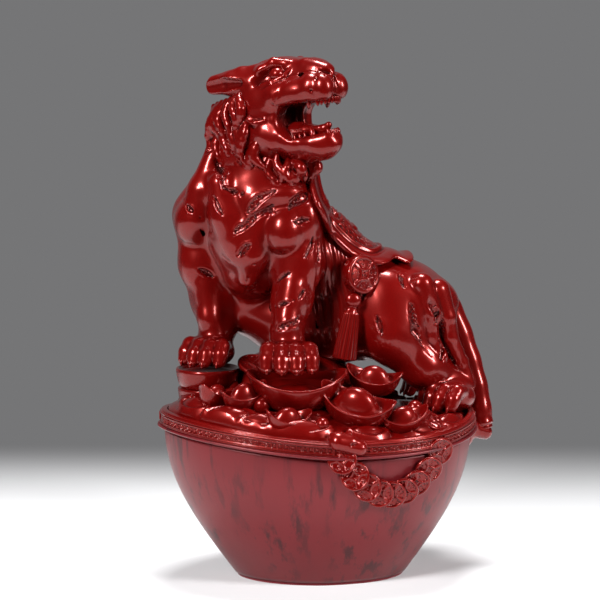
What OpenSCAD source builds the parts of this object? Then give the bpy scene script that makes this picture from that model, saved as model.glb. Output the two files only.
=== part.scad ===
// Tiger roaring on a heap of treasure that fills a boat-shaped gold ingot: a lacquered desk ornament.
// Millimetres. Origin: middle of the resting face. +Z up, +X towards the stern, where the tail hangs;
// the side with the coin string and the tiger's left flank faces -Y.

/* [Base] */
// Length of the boat-shaped base at its rim, prow to stern
base_length = 117; // [98:1:140]
// Width of the base at its rim
base_width = 88; // [74:1:105]
// Height of the rim above the table at mid-length
base_height = 51.5; // [43:0.5:62]
// Length of the foot that the base stands on
foot_length = 66; // [55:1:79]
// Width of the foot
foot_width = 50; // [42:1:60]
// Thickness of the hollow base's wall
wall = 4; // [3:0.5:6]
// How far the rim rises towards the prow
prow_rise = 6.5; // [4:0.5:9]
// How far the rim rises towards the stern
stern_rise = 4.5; // [3:0.5:7]
// How far the middle of the rim leans ahead of the middle of the foot
rim_lead = 1.2; // [0:0.2:3]
// Thickness of the felt pad under the foot
felt = 1.2; // [0.8:0.2:2.4]
// Thickness of the plate that closes the hollow
plate = 2.5; // [2:0.5:4]
// Gap left around the closing plate
plate_gap = 0.2; // [0.1:0.1:0.5]

/* [Rim] */
// How far the lip stands out from the wall
lip_out = 2.8; // [2:0.2:4]
// Thickness of the lip
lip_height = 1.8; // [1.4:0.2:2.6]
// Height of the band above the lip
band_height = 5.5; // [4.5:0.5:7]
// Thickness of the band
band_wall = 2.4; // [2:0.2:4]
// How far a key-pattern panel stands out from the band
panel_relief = 0.7; // [0.4:0.1:1.1]
// Width of the plain frame above and below a panel
panel_margin = 0.8; // [0.5:0.1:1.1]

/* [Treasure] */
// Rise of the heap above its edge
heap_rise = 10; // [8:0.5:12]
// Extra rise of the mound under the tiger's belly
crest_rise = 17; // [14:0.5:20]
// How far the heap's edge lies under the top of the band
edge_drop = 2; // [1:0.25:3]
// Length of a large treasure ingot
ingot_length = 23; // [19:0.5:27]
// Length of the dish-shaped ingot under the left forepaw
dish_length = 36; // [30:1:43]
// Diameter of a coin lying on the heap
heap_coin_d = 15; // [12.5:0.5:18]
// Diameter of a coin on the string
string_coin_d = 11; // [9:0.5:13]
// Thickness of every coin
coin_thick = 1.2; // [1:0.1:1.5]
// Width of the square hole in a coin, as a part of its diameter
coin_hole = 0.3; // [0.2:0.02:0.36]
// Length of the string of coins along the wall
string_span = 38; // [32:1:45]
// Sag of the string of coins
string_sag = 14; // [11:0.5:17]

/* [Tiger] */
// Height from the rim to the top of the tiger's head
tiger_height = 146; // [122:1:175]
// Opening angle of the mouth
mouth_angle = 31; // [24:1:36]
// Thickness of the saddle cloth
cloth_thick = 1.8; // [1.2:0.2:2.6]
// Diameter of the medallion on the cloth's corner
medallion_d = 13; // [11:0.5:15]

/* [Hidden] */
string_coins = 9;
heap_coins = 5;
heap_ingots = 7;

deep_red = [0.42, 0.02, 0.03];
satin_red = [0.52, 0.06, 0.08];
felt_red = [0.30, 0.03, 0.04];

round_steps = 56;               // stations around the base
prow_power = 1.8;               // outline exponents: the prow is more pointed than the stern
stern_power = 2.4;
ball_fn = 14;                   // facets of the balls that limbs are hulled from
small_fn = 8;                   // the same for locks, toes, claws and teeth
touch = 0.05;                   // air left where two modelled faces would coincide
design_height = 146;            // height at which the limb lists below were drawn
ts = tiger_height / design_height;
band_top = lip_height + band_height;

// ---------- outlines, skins and small helpers ----------

function mix(a, b, t) = a + (b - a) * t;
function signed_pow(v, e) = sign(v) * pow(abs(v), e);
function power_at(t) = cos(t) < 0 ? prow_power : stern_power;
// Plan outline of the boat at angle t, with given half length and half width
function plan(t, half_l, half_w) =
    [half_l * signed_pow(cos(t), 2 / power_at(t)), half_w * signed_pow(sin(t), 2 / power_at(t))];
// Rise of the rim above mid-length, from the angle or from the place along the boat
function sheer(t) = cos(t) < 0 ? prow_rise * pow(-cos(t), 1.4) : stern_rise * pow(cos(t), 3);
function sheer_x(x) = let (q = min(1, abs(x + rim_lead) * 2 / base_length))
    x < -rim_lead ? prow_rise * pow(q, 0.7 * prow_power) : stern_rise * pow(q, 1.5 * stern_power);
// Point of the wall at angle t and height share u, moved in by inset
function wall_point(t, u, inset = 0) =
    let (swell = sin(90 * u),
         p = plan(t, mix(foot_length, base_length, swell) / 2 - inset,
                     mix(foot_width, base_width, swell) / 2 - inset))
    [p.x - rim_lead * swell, p.y, felt + u * (base_height + sheer(t) - felt)];
// Point beside the rim: out from the outline, up from the rim line
function rim_point(t, out, up) =
    let (p = plan(t, base_length / 2 + out, base_width / 2 + out))
    [p.x - rim_lead, p.y, base_height + sheer(t) + up];
// Wall point on the near side at a given x and height, by the outline's own equation
function near_wall(x, z) =
    let (u = (z - felt) / (base_height + sheer_x(x) - felt),
         swell = sin(90 * min(u, 1)),
         half_l = mix(foot_length, base_length, swell) / 2,
         half_w = mix(foot_width, base_width, swell) / 2,
         xs = x + rim_lead * swell,
         n = xs < 0 ? prow_power : stern_power)
    [x, -half_w * pow(1 - pow(abs(xs) / half_l, n), 1 / n), z];
// Top of the heap at a place on it
function bed_z(x, y) =
    let (xs = (x + rim_lead) * 2 / base_length, ys = y * 2 / base_width,
         dome = pow(max(0, 1 - xs * xs - ys * ys), 0.6),
         crest = pow(max(0, 1 - pow(xs * 1.94 + 0.16, 2) - pow(ys * 2 - 0.59, 2)), 0.7))
    base_height + band_top - edge_drop + sheer_x(x) + heap_rise * dome * (1 - 0.35 * xs) + crest_rise * tiger_height / design_height * crest;

function tri_pair(a, b, c, d) = [[a, b, c], [a, c, d]];
// Closed tube from a grid of points: stations run round, each a closed loop of points
module ring_skin(grid) {
    n = len(grid);
    m = len(grid[0]);
    polyhedron([for (row = grid) for (p = row) p],
        [for (i = [0:n-1]) for (j = [0:m-1])
            for (f = tri_pair(i * m + j, i * m + (j + 1) % m,
                              ((i + 1) % n) * m + (j + 1) % m, ((i + 1) % n) * m + j)) f],
        convexity = 8);
}
// The same with two open ends, closed by flat caps
module bar_skin(grid) {
    n = len(grid);
    m = len(grid[0]);
    polyhedron([for (row = grid) for (p = row) p],
        concat([for (i = [0:n-2]) for (j = [0:m-1])
                   for (f = tri_pair(i * m + j, i * m + (j + 1) % m,
                                     (i + 1) * m + (j + 1) % m, (i + 1) * m + j)) f],
               [for (j = [1:m-2]) [0, j + 1, j]],
               [for (j = [1:m-2]) [(n - 1) * m, (n - 1) * m + j, (n - 1) * m + j + 1]]),
        convexity = 8);
}
// Stack of rings, lowest first, closed by a fan to a middle point at each end
module stack_skin(rings, low, high) {
    n = len(rings);
    m = len(rings[0]);
    polyhedron(concat([for (r = rings) for (p = r) p], [low, high]),
        concat([for (i = [0:n-2]) for (j = [0:m-1])
                   for (f = tri_pair(i * m + j, (i + 1) * m + j,
                                     (i + 1) * m + (j + 1) % m, i * m + (j + 1) % m)) f],
               [for (j = [0:m-1]) [n * m, j, (j + 1) % m]],
               [for (j = [0:m-1]) [n * m + 1, (n - 1) * m + (j + 1) % m, (n - 1) * m + j]]),
        convexity = 8);
}
function turn_at(i) = 360 * i / round_steps;
// A ring whose section is a list of [out, up] corners, listed anticlockwise
module rim_ring(section) {
    ring_skin([for (i = [0:round_steps-1]) [for (p = section) rim_point(turn_at(i), p[0], p[1])]]);
}

// Limb lists hold [x, y, height above the rim, radius]; a limb is a run of hulled balls
function place(p) = [p[0] * ts, p[1] * ts, base_height + p[2] * ts];
module bead(p, grow = 0) {
    translate(place(p)) sphere(r = p[3] * ts + grow, $fn = ball_fn);
}
module limb(list, grow = 0) {
    for (i = [0:len(list)-2]) hull() {
        bead(list[i], grow);
        bead(list[i + 1], grow);
    }
}

// ---------- base ----------

module felt_pad() {
    color(felt_red) linear_extrude(felt - touch)
        polygon([for (i = [0:round_steps-1]) plan(turn_at(i), foot_length / 2 - 1, foot_width / 2 - 1)]);
}

module closing_plate() {
    color(felt_red) translate([0, 0, felt]) linear_extrude(plate)
        polygon([for (i = [0:round_steps-1])
            plan(turn_at(i), foot_length / 2 - wall - plate_gap, foot_width / 2 - wall - plate_gap)]);
}

module ingot_bowl() {
    levels = 7;
    color(satin_red) ring_skin([for (i = [0:round_steps-1]) let (t = turn_at(i))
        concat([for (j = [0:levels]) wall_point(t, j / levels)],
               [for (j = [levels:-2:0]) wall_point(t, j / levels, wall)])]);
}

module rim_lip() {
    color(deep_red) rim_ring([[-wall, touch], [0.6, touch], [lip_out, lip_height * 0.45],
                              [lip_out, lip_height], [-wall, lip_height]]);
}

module rim_band() {
    color(deep_red) rim_ring([[1.4 - band_wall, lip_height + touch], [1.4, lip_height + touch],
                              [1.4, band_top - 0.6], [0.9, band_top], [1.0 - band_wall, band_top]]);
}

// One key-pattern panel between two angles
module fret_panel(t0, t1) {
    steps = max(4, ceil(abs(t1 - t0) / 6));
    low = lip_height + panel_margin;
    high = band_top - 0.6 - panel_margin;
    bar_skin([for (i = [0:steps]) let (t = mix(t0, t1, i / steps))
        [rim_point(t, 1.4 + touch, low), rim_point(t, 1.4 + panel_relief, low + 0.3),
         rim_point(t, 1.4 + panel_relief, high - 0.3), rim_point(t, 1.4 + touch, high)]]);
}
module fret_panels() {
    color(deep_red) for (side = [-1, 1]) for (r = [[18, 52], [56, 88], [94, 172]])
        fret_panel(side > 0 ? r[0] : -r[1], side > 0 ? r[1] : -r[0]);
}

// Rounded lump over the rim from which the string of coins hangs
module string_boss() {
    color(deep_red) difference() {
        hull() {
            translate(rim_point(-92, 0.5, band_top)) sphere(r = 3.6, $fn = ball_fn);
            translate(rim_point(-86, 1, band_top - 2.5)) sphere(r = 3, $fn = ball_fn);
        }
        rim_band();
        treasure_bed_solid();
        fret_panels();
        rim_lip();
    }
}

perch_point = [base_length / 2 - rim_lead + 9, 2, base_height - 0.5];
module tail_perch() {
    color(deep_red) difference() {
        hull() {
            translate(perch_point) sphere(r = 3, $fn = ball_fn);
            translate([base_length / 2 - rim_lead, 4, base_height - 1]) sphere(r = 4.5, $fn = ball_fn);
            translate([base_length / 2 - rim_lead - 2, 2, base_height - 5]) sphere(r = 3, $fn = ball_fn);
        }
        ingot_bowl();
        rim_lip();
    }
}

// ---------- treasure ----------

// Ring of the heap's outline, shrunk to a share of the space inside the band
function bed_ring(share) = [for (i = [0:round_steps-1])
    let (p = plan(turn_at(i), (base_length / 2 + 0.9 - band_wall) * share,
                  (base_width / 2 + 0.9 - band_wall) * share))
    [p.x - rim_lead, p.y, bed_z(p.x - rim_lead, p.y)]];
module treasure_bed_solid() {
    under = [for (i = [0:round_steps-1]) rim_point(turn_at(i), 0.9 - band_wall, lip_height + touch)];
    stack_skin(concat([under], [for (s = [1, 0.93, 0.84, 0.72, 0.56, 0.36, 0.16]) bed_ring(s)]),
        [-rim_lead, 0, base_height + lip_height + touch], [-rim_lead, 0, bed_z(-rim_lead, 0)]);
}
module treasure_bed() {
    color(deep_red) treasure_bed_solid();
}

// Boat-shaped ingot l long, standing on its own origin, with the round crown in its middle
module ingot(l, w_share = 0.56, h_share = 0.34, crown = 1) {
    m = 18;
    w = l * w_share;
    h = l * h_share;
    // each ring: share of the length, share of the width, height, lift of the ends
    rows = [[0.52, 0.6, 0, 0], [0.8, 0.88, 0.3, 0.12], [0.97, 1, 0.55, 0.42], [1, 1, 0.62, 0.5],
            [0.9, 0.84, 0.62, 0.46], [0.62, 0.66, 0.5, 0.14], [0.36, 0.5, 0.72, 0], [0.18, 0.25, 0.95, 0]];
    stack_skin([for (r = rows) [for (i = [0:m-1]) let (t = 360 * i / m)
            [l / 2 * r[0] * cos(t), w / 2 * r[1] * sin(t),
             h * (r[2] * (r[0] < 0.5 ? crown : 1) + r[3] * pow(abs(cos(t)), 2.5))]]],
        [0, 0, 0], [0, 0, h * crown]);
}
// Coin d across with a raised edge and a square hole, lying on its own origin
module coin(d) {
    rim = d * 0.09;
    hole = d * coin_hole;
    difference() {
        cylinder(d = d, h = coin_thick, $fn = 48);
        translate([0, 0, coin_thick * 0.72]) difference() {
            cylinder(d = d - 2 * rim, h = coin_thick, $fn = 48);
            cube([hole + 2 * rim, hole + 2 * rim, 4 * coin_thick], center = true);
        }
        cube([hole, hole, 4 * coin_thick], center = true);
    }
}
// Puts a child on the heap: place, turn about the upright, tilts, and how deep it sinks
module on_heap(x, y, turn = 0, tilt = [0, 0], sink = 0) {
    translate([x, y, bed_z(x, y) - sink]) rotate([tilt[0], tilt[1], 0]) rotate([0, 0, turn]) children();
}

// The paws' places settle the two treasures that carry them
paw_left_foot = place([-12.5, -17.5, 28, 0]);
paw_right_foot = place([-42, 7.5, 28, 0]);

module paw_dish_solid() {
    base_z = bed_z(paw_left_foot.x, paw_left_foot.y) - 2;
    high = paw_left_foot.z - base_z;
    translate([paw_left_foot.x, paw_left_foot.y, base_z]) rotate([0, 0, -8])
        ingot(dish_length, 0.65, 0.93 * high / dish_length, 0.8);
}
module paw_dish() {
    color(deep_red) difference() {
        paw_dish_solid();
        treasure_bed_solid();
        forepaw_left_solid();
    }
}
stack_base = bed_z(paw_right_foot.x, paw_right_foot.y) - 1;
stack_split = mix(stack_base, paw_right_foot.z, 0.45);
module paw_stack_solid() {
    translate([paw_right_foot.x, paw_right_foot.y, stack_base])
        cylinder(r = 12.3, h = paw_right_foot.z + 1 - stack_base, $fn = 48);
}
module paw_stack_low() {
    color(deep_red) difference() {
        translate([paw_right_foot.x, paw_right_foot.y, stack_base])
            cylinder(r1 = 10.6, r2 = 11.6, h = stack_split - stack_base - touch, $fn = 48);
        treasure_bed_solid();
        rim_band();
    }
}
module paw_stack_high() {
    rise = paw_right_foot.z - stack_split;
    color(deep_red) difference() {
        translate([paw_right_foot.x, paw_right_foot.y, stack_split])
            rotate_extrude($fn = 48)
                polygon([[0, 0], [9.6, 0], [11.6, rise * 0.35], [12.2, rise * 0.8], [11.6, rise + 1],
                         [9.8, rise + 1], [9, rise * 0.7], [0, rise * 0.7]]);
        forepaw_right_solid();
        treasure_bed_solid();
    }
}

// Heap ingots: [x, y, turn, tilts, share of the large length, lift off the heap]
heap_ingot_spots = [
    [7, -28, -28, [20, 14], 1.28, -0.6], [-20, -33, 14, [14, 4], 0.8, -0.6], [-33, -19.5, 20, [12, -8], 0.84, 0.8],
    [24.5, -33, 6, [14, -6], 0.86, -0.8], [17, -15, -22, [14, 8], 0.95, 7], [-2, 33, 10, [-14, 0], 1.1, -1],
    [-43, -13, 40, [4, 12], 0.8, -1]];
module heap_ingot_solid(i) {
    spot = heap_ingot_spots[i - 1];
    on_heap(spot[0], spot[1], spot[2], spot[3], -spot[5]) ingot(ingot_length * spot[4], 0.56, 0.42);
}
module heap_ingot(i) {
    color(deep_red) difference() {
        heap_ingot_solid(i);
        treasure_bed_solid();
        rim_band();
        if (i == 2 || i == 3) paw_dish_solid();
        if (i == 3 || i == 7) paw_stack_solid();
        if (i == 5) torso_solid();
        if (i == 1) paw_dish_solid();
        if (i < 5) heap_ingot_solid(i == 1 ? 5 : (i == 4 ? 1 : (i == 2 ? 3 : 7)));
    }
}
// Heap coins: [x, y, turn, tilts]
heap_coin_spots = [[37, -26, 20, [22, 14]], [30, 28, 10, [-24, 8]], [-22, 31, 35, [-24, -6]],
                   [4, -5, 15, [16, 2]], [-24, 2, 30, [22, -6]]];
module heap_coin(i) {
    spot = heap_coin_spots[i - 1];
    color(deep_red) difference() {
        on_heap(spot[0], spot[1], spot[2], spot[3], -0.9) coin(heap_coin_d);
        treasure_bed_solid();
        if (i == 1) heap_ingot_solid(4);
        if (i > 3) {
            torso_solid();
            paw_dish_solid();
            forepaw_left_solid();
            paw_stack_solid();
        }
    }
}
// Loose pearls: [x, y, radius], each resting on the heap beside the ingots
heap_bead_spots = [[-27, -23, 3.2], [-7, -37, 2.6], [5, -21.5, 4], [-34, 2, 3.4], [33, -17, 3], [14, 30, 3.4]];
module heap_beads() {
    color(deep_red) difference() {
        for (p = heap_bead_spots)
            translate([p[0], p[1], bed_z(p[0], p[1]) + p[2]]) sphere(r = p[2], $fn = 20);
        treasure_bed_solid();
        paw_dish_solid();
        paw_stack_solid();
        for (i = [1:heap_ingots]) heap_ingot_solid(i);
        forepaw_left_solid();
    }
}
module heap_bars_solid() {
    for (a = [0, 1, 2]) on_heap(27 + 3.4 * a, -23 - 2.0 * a, 62, [10, -8], 0.5)
        translate([-6, -1.4, 0]) cube([12, 2.8, 3.2 + 0.6 * a]);
}
module heap_bars() {
    color(deep_red) difference() {
        heap_bars_solid();
        treasure_bed_solid();
        heap_ingot_solid(4);
        heap_coin(1);
    }
}

// String coin i hangs from the rim on a parabola against the wall, shingled over the one before
function string_x(i) = mix(-string_span / 2, string_span / 2, (i - 1) / (string_coins - 1));
string_mid = [17.5, base_height - 13];
function string_point(i) = let (x = string_x(i))
    near_wall(string_mid[0] + x, string_mid[1] + string_sag * pow(2 * x / string_span, 2));
module string_coin(i) {
    p = string_point(i);
    ahead = string_point(i + 0.1) - string_point(i - 0.1);
    up = near_wall(p.x, p.z + 0.5) - near_wall(p.x, p.z - 0.5);
    n = cross(ahead, up) / norm(cross(ahead, up));
    out = n.y > 0 ? -n : n;
    along = ahead / norm(ahead);
    side = cross(out, along);
    lap = asin(min(0.5, 1.35 * coin_thick / (string_span * 1.25 / (string_coins - 1))));
    standoff = 0.5 * string_coin_d * sin(lap) + 0.4;
    color(deep_red) translate(p + out * standoff)
        multmatrix([for (r = [0:2]) [along[r], side[r], out[r], 0]])
        rotate([0, -lap, 0]) rotate([0, 0, 20]) coin(string_coin_d);
}

// ---------- tiger ----------

chest_line = [[-18, 9, 108.5, 13], [-22, 8, 94.5, 16.5], [-25, 7, 79.5, 16], [-24, 9, 66.5, 12.5]];
spine_line = [[-16, 12, 100.5, 12], [-12, 14, 84.5, 13.5], [0.5, 13, 69.5, 15.5], [19, 12.5, 55.5, 15.5],
              [37, 12.5, 50, 15.5], [48, 13, 48.5, 10]];
belly_line = [[-22, 20, 50, 12.5], [-8, 15, 44, 13], [8, 12, 42, 12.5], [22, 11, 42.5, 13], [36, 13, 45.5, 11]];
flank_line = [[17, 4, 58, 10], [17, 4, 46, 10]];
yokes = [[[-42.5, 17, 85.5, 10.5], [-31, 14, 105.5, 10]], [[-9, -2, 87.5, 10], [-14, 5, 105.5, 11]]];
foreleg_left_line = [[-10.5, -4, 86.5, 10.5], [-9.5, -5, 68.5, 9], [-12.5, -8, 54.5, 7.4], [-15, -10.5, 42.5, 6.2]];
foreleg_right_line = [[-42, 18, 84.5, 10.5], [-41.5, 18, 66.5, 9.2], [-38.5, 17, 52.5, 7.8], [-37, 14, 41.5, 6.8]];
hindleg_left_line = [[34, 3, 50.5, 14.5], [28, -1, 40.5, 12], [40, -3, 27.5, 8.4], [53, -2, 19.5, 5.6],
                     [52, -6, 15, 5.2]];
hindleg_right_line = [[38, 23, 48.5, 13], [30, 27, 38.5, 11], [42, 27, 27.5, 8.2], [54, 25, 18.5, 5.5],
                      [52, 25, 14.5, 5]];

module torso_solid(grow = 0) {
    limb(chest_line, grow);
    limb(spine_line, grow);
    limb(belly_line, grow);
    limb(flank_line, grow);
    for (y = yokes) limb(y, grow);
}
module torso() {
    color(deep_red) difference() {
        torso_solid();
        treasure_bed_solid();
    }
}
module foreleg_left() {
    color(deep_red) difference() {
        limb(foreleg_left_line);
        torso_solid();
    }
}
module foreleg_right() {
    color(deep_red) difference() {
        limb(foreleg_right_line);
        torso_solid();
    }
}
module hindleg_left() {
    color(deep_red) difference() {
        limb(hindleg_left_line);
        torso_solid();
        treasure_bed_solid();
    }
}
module hindleg_right() {
    color(deep_red) difference() {
        limb(hindleg_right_line);
        torso_solid();
        treasure_bed_solid();
    }
}

// A paw at a place, turned to its heading: a pad and four toes fanned in front
module paw(p, heading, size, toe = 1) {
    translate(place(p)) rotate([0, 0, heading]) scale(size * ts) {
        hull() {
            translate([-4, 0, 7]) sphere(r = 6, $fn = ball_fn);
            translate([3, 0, 2.5]) scale([1, 1.25, 0.9]) sphere(r = 6.4, $fn = ball_fn);
        }
        for (k = [-1.5:1:1.5]) hull() {
            translate([3, 3.6 * k, 2.5]) sphere(r = 3.4, $fn = small_fn);
            translate([8 + toe * (2.25 - k * k) * 0.9, 4 * k, 0.6]) sphere(r = 2.7, $fn = small_fn);
        }
    }
}
paw_left_spec = [-15, -14, 32];
paw_right_spec = [-40, 8.5, 32];
hind_left_spec = [49, -9.5, 14.3];
hind_right_spec = [49, 24.5, 14.3];
fore_left_size = 1.14;
fore_right_size = 1.03;
hind_size = 0.97;
module forepaw_left_solid() { paw(paw_left_spec, -100, fore_left_size); }
module forepaw_right_solid() { paw(paw_right_spec, -128, fore_right_size); }
module forepaw_left() {
    color(deep_red) difference() {
        forepaw_left_solid();
        foreleg_left();
        treasure_bed_solid();
    }
}
module forepaw_right() {
    color(deep_red) difference() {
        forepaw_right_solid();
        foreleg_right();
        treasure_bed_solid();
    }
}
module hindpaw_left() {
    color(deep_red) difference() {
        paw(hind_left_spec, -152, hind_size);
        hindleg_left();
        treasure_bed_solid();
    }
}
module hindpaw_right() {
    color(deep_red) difference() {
        paw(hind_right_spec, 158, hind_size);
        hindleg_right();
        treasure_bed_solid();
    }
}
module claw_row(p, heading, size) {
    translate(place(p)) rotate([0, 0, heading]) scale(size * ts) for (k = [-1.5:1:1.5])
        translate([9.2 + (2.25 - k * k) * 0.9, 4.1 * k, 0.6]) rotate([0, 118, 0])
            cylinder(r1 = 1.5, r2 = 0.35, h = 4, $fn = small_fn);
}
module claws() {
    color(deep_red) difference() {
        union() {
            claw_row(paw_left_spec, -100, fore_left_size);
            claw_row(paw_right_spec, -128, fore_right_size);
            claw_row(hind_left_spec, -152, hind_size);
            claw_row(hind_right_spec, 158, hind_size);
        }
        forepaw_left();
        forepaw_right();
        hindpaw_left();
        hindpaw_right();
        paw_dish();
        paw_stack_high();
        treasure_bed_solid();
    }
}

// The tail falls from the rump in one curve and ends on the perch
tail_root = place([50, 13, 51.5, 0]);
tail_end = perch_point + [-0.5, 2, 4.5];
function bezier(a, b, c, d, t) =
    a * pow(1 - t, 3) + b * 3 * t * pow(1 - t, 2) + c * 3 * t * t * (1 - t) + d * pow(t, 3);
function tail_point(t) = bezier(tail_root, tail_root + [11, 0, -5] * ts,
                                mix(tail_end, tail_root, 0.35) + [4, 0, 0], tail_end, t);
module tail() {
    parts = 7;
    color(deep_red) difference() {
        for (i = [0:parts-1]) hull() for (j = [i, i + 1])
            translate(tail_point(j / parts)) sphere(r = mix(5.6, 4.0, j / parts) * ts, $fn = ball_fn);
        torso_solid();
        hindleg_left();
        tail_perch();
        rim_band();
        rim_lip();
        treasure_bed_solid();
    }
}

// ---------- head ----------

// The head has its own frame: X to the muzzle, Y to the tiger's left, Z up
head_centre = [-19.5, 4, 129];
head_turn = [0, -15, -52];
head_scale = 1;
module in_head() {
    translate(place(head_centre)) rotate(head_turn) scale(head_scale * ts) children();
}
module head_bead(x, y, z, r) {
    translate([x, y, z]) sphere(r = r, $fn = ball_fn);
}
module head_solid() {
    in_head() {
        hull() { head_bead(-1, 0, 0, 14); head_bead(6, 0, 3, 11.5); }
        hull() { head_bead(6, 0, 3, 11.5); head_bead(24, 0, 1.5, 7.5); }
        hull() for (s = [-1, 1]) { head_bead(26, 4 * s, -1, 6.5); head_bead(31, 4 * s, -1.5, 6); }
        hull() { head_bead(35, 2, 3.5, 3); head_bead(35, -2, 3.5, 3); head_bead(27, 0, 4.5, 4); }
        for (s = [-1, 1]) {
            hull() { head_bead(2, 9 * s, -5, 8); head_bead(13, 9 * s, -5, 6.5); }
            hull() { head_bead(12, 6 * s, 11.4, 3.3); head_bead(14, 9.5 * s, 7.5, 3); }
            ear(s);
        }
    }
}
// Ear laid back, hollow in front
module ear(s) {
    difference() {
        hull() {
            head_bead(-4, 10 * s, 7, 5);
            head_bead(-15, 14 * s, 10, 3);
            head_bead(-18, 15.5 * s, 11, 1.2);
            head_bead(-8, 13 * s, 3, 3);
        }
        translate([-6, 15.5 * s, 9]) rotate([0, 0, -18 * s]) scale([2.1, 0.8, 0.9])
            sphere(r = 3.6, $fn = small_fn);
    }
}
module head() {
    color(deep_red) difference() {
        head_solid();
        torso_solid();
        in_head() for (s = [-1, 1]) eye_ball(s, 0.1);
    }
}
module eye_ball(s, grow = 0) {
    translate([13, 9.2 * s, 5]) sphere(r = 2.7 + grow, $fn = 20);
}
module eye_left() { color(deep_red) in_head() eye_ball(1); }
module eye_right() { color(deep_red) in_head() eye_ball(-1); }

// The jaw turns down about the hinge behind the cheeks
module in_jaw() {
    in_head() translate([3, 0, -7]) rotate([0, mouth_angle, 0]) children();
}
module lower_jaw_solid() {
    in_jaw() for (s = [-1, 1]) {
        hull() { head_bead(0, 7 * s, -3, 5.5); head_bead(14, 5 * s, -3.5, 4); }
        hull() { head_bead(14, 5 * s, -3.5, 4); head_bead(24, 2.6 * s, -2.5, 4); }
    }
    in_jaw() hull() { head_bead(2, 0, -5, 6); head_bead(24, 0, -4, 4); }
}
module lower_jaw() {
    color(deep_red) difference() {
        lower_jaw_solid();
        head_solid();
        torso_solid();
    }
}
module tongue() {
    color(deep_red) difference() {
        in_jaw() hull() {
            translate([2, 0, 0.5]) scale([1, 1.3, 0.7]) sphere(r = 3.6, $fn = ball_fn);
            translate([17, 0, 2.5]) scale([1.2, 1.3, 0.6]) sphere(r = 3.2, $fn = ball_fn);
        }
        head_solid();
        lower_jaw_solid();
        torso_solid();
    }
}
// A row of teeth: x, y, length and root radius, pointing down or up
module tooth(x, y, z, l, r, way) {
    translate([x, y, z]) rotate([way > 0 ? 0 : 180, 0, 0])
        cylinder(r1 = r, r2 = 0.3, h = l, $fn = small_fn);
}
module upper_teeth() {
    color(deep_red) difference() {
        in_head() for (s = [-1, 1]) {
            tooth(30.5, 5.2 * s, -5.5, 7, 1.7, -1);
            for (k = [0:2]) tooth(33.5 - 0.6 * k, (0.9 + 1.6 * k) * s, -5.8, 2.6, 0.9, -1);
            for (k = [0:3]) tooth(26 - 3 * k, 6.5 * s, -4.8, 3.4, 1.5, -1);
        }
        head_solid();
        torso_solid();
    }
}
module lower_teeth() {
    color(deep_red) difference() {
        in_jaw() for (s = [-1, 1]) {
            tooth(25.5, 4.4 * s, -0.5, 6.5, 1.5, 1);
            for (k = [0:1]) tooth(27.2, (0.9 + 1.6 * k) * s, -0.2, 2.6, 0.9, 1);
            for (k = [0:2]) tooth(20 - 3 * k, 5.2 * s, -0.8, 3.4, 1.4, 1);
        }
        lower_jaw_solid();
        head_solid();
    }
}

// Mane: locks that start behind the cheeks and jaw and sweep down over the neck
mane_locks = 11;
module mane() {
    color(deep_red) difference() {
        in_head() for (s = [-1, 1]) for (k = [0:mane_locks-1]) {
            a = mix(-78, 62, k / (mane_locks - 1));
            hull() {
                translate([-2 + 4 * sin(-a), 14 * cos(a) * s, 13.5 * sin(a) - 3]) sphere(r = 3.4, $fn = small_fn);
                translate([-10 + 3 * sin(-a), 16.5 * cos(a) * s, 16 * sin(a) - 6]) sphere(r = 3, $fn = small_fn);
            }
            hull() {
                translate([-10 + 3 * sin(-a), 16.5 * cos(a) * s, 16 * sin(a) - 6]) sphere(r = 3, $fn = small_fn);
                translate([-15, 17.5 * cos(a) * s, 18 * sin(a) - 11]) sphere(r = 1.2, $fn = small_fn);
            }
        }
        torso_solid();
        head_solid();
        lower_jaw_solid();
        upper_teeth();
    }
}

// ---------- saddle cloth and its trim ----------

// Side view of the cloth: [x, height above the rim]
cloth_outline = [[-5.5, 115], [-4.5, 95.5], [-1.5, 88], [2.5, 81], [6.5, 76.3], [10.5, 72.7], [15.5, 69.7],
                 [20.5, 68.1], [25.5, 68.7], [30, 69.7], [35, 68.1], [39, 72.5], [41, 88.5], [41, 115]];
module cloth_region(shrink = 0) {
    translate([0, 13 * ts, 0]) rotate([90, 0, 0]) linear_extrude(70 * ts, center = true)
        translate([0, base_height]) scale(ts) offset(delta = -shrink) polygon(cloth_outline);
}
module legs_solid() {
    limb(foreleg_left_line);
    limb(foreleg_right_line);
    limb(hindleg_left_line);
    limb(hindleg_right_line);
}
module saddle_cloth() {
    color(deep_red) difference() {
        intersection() {
            limb(spine_line, cloth_thick);
            cloth_region(2);
        }
        torso_solid();
        legs_solid();
    }
}
module cloth_border() {
    color(deep_red) difference() {
        intersection() {
            limb(spine_line, cloth_thick + 0.8);
            difference() {
                cloth_region();
                cloth_region(2);
            }
        }
        torso_solid();
        legs_solid();
    }
}
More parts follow.
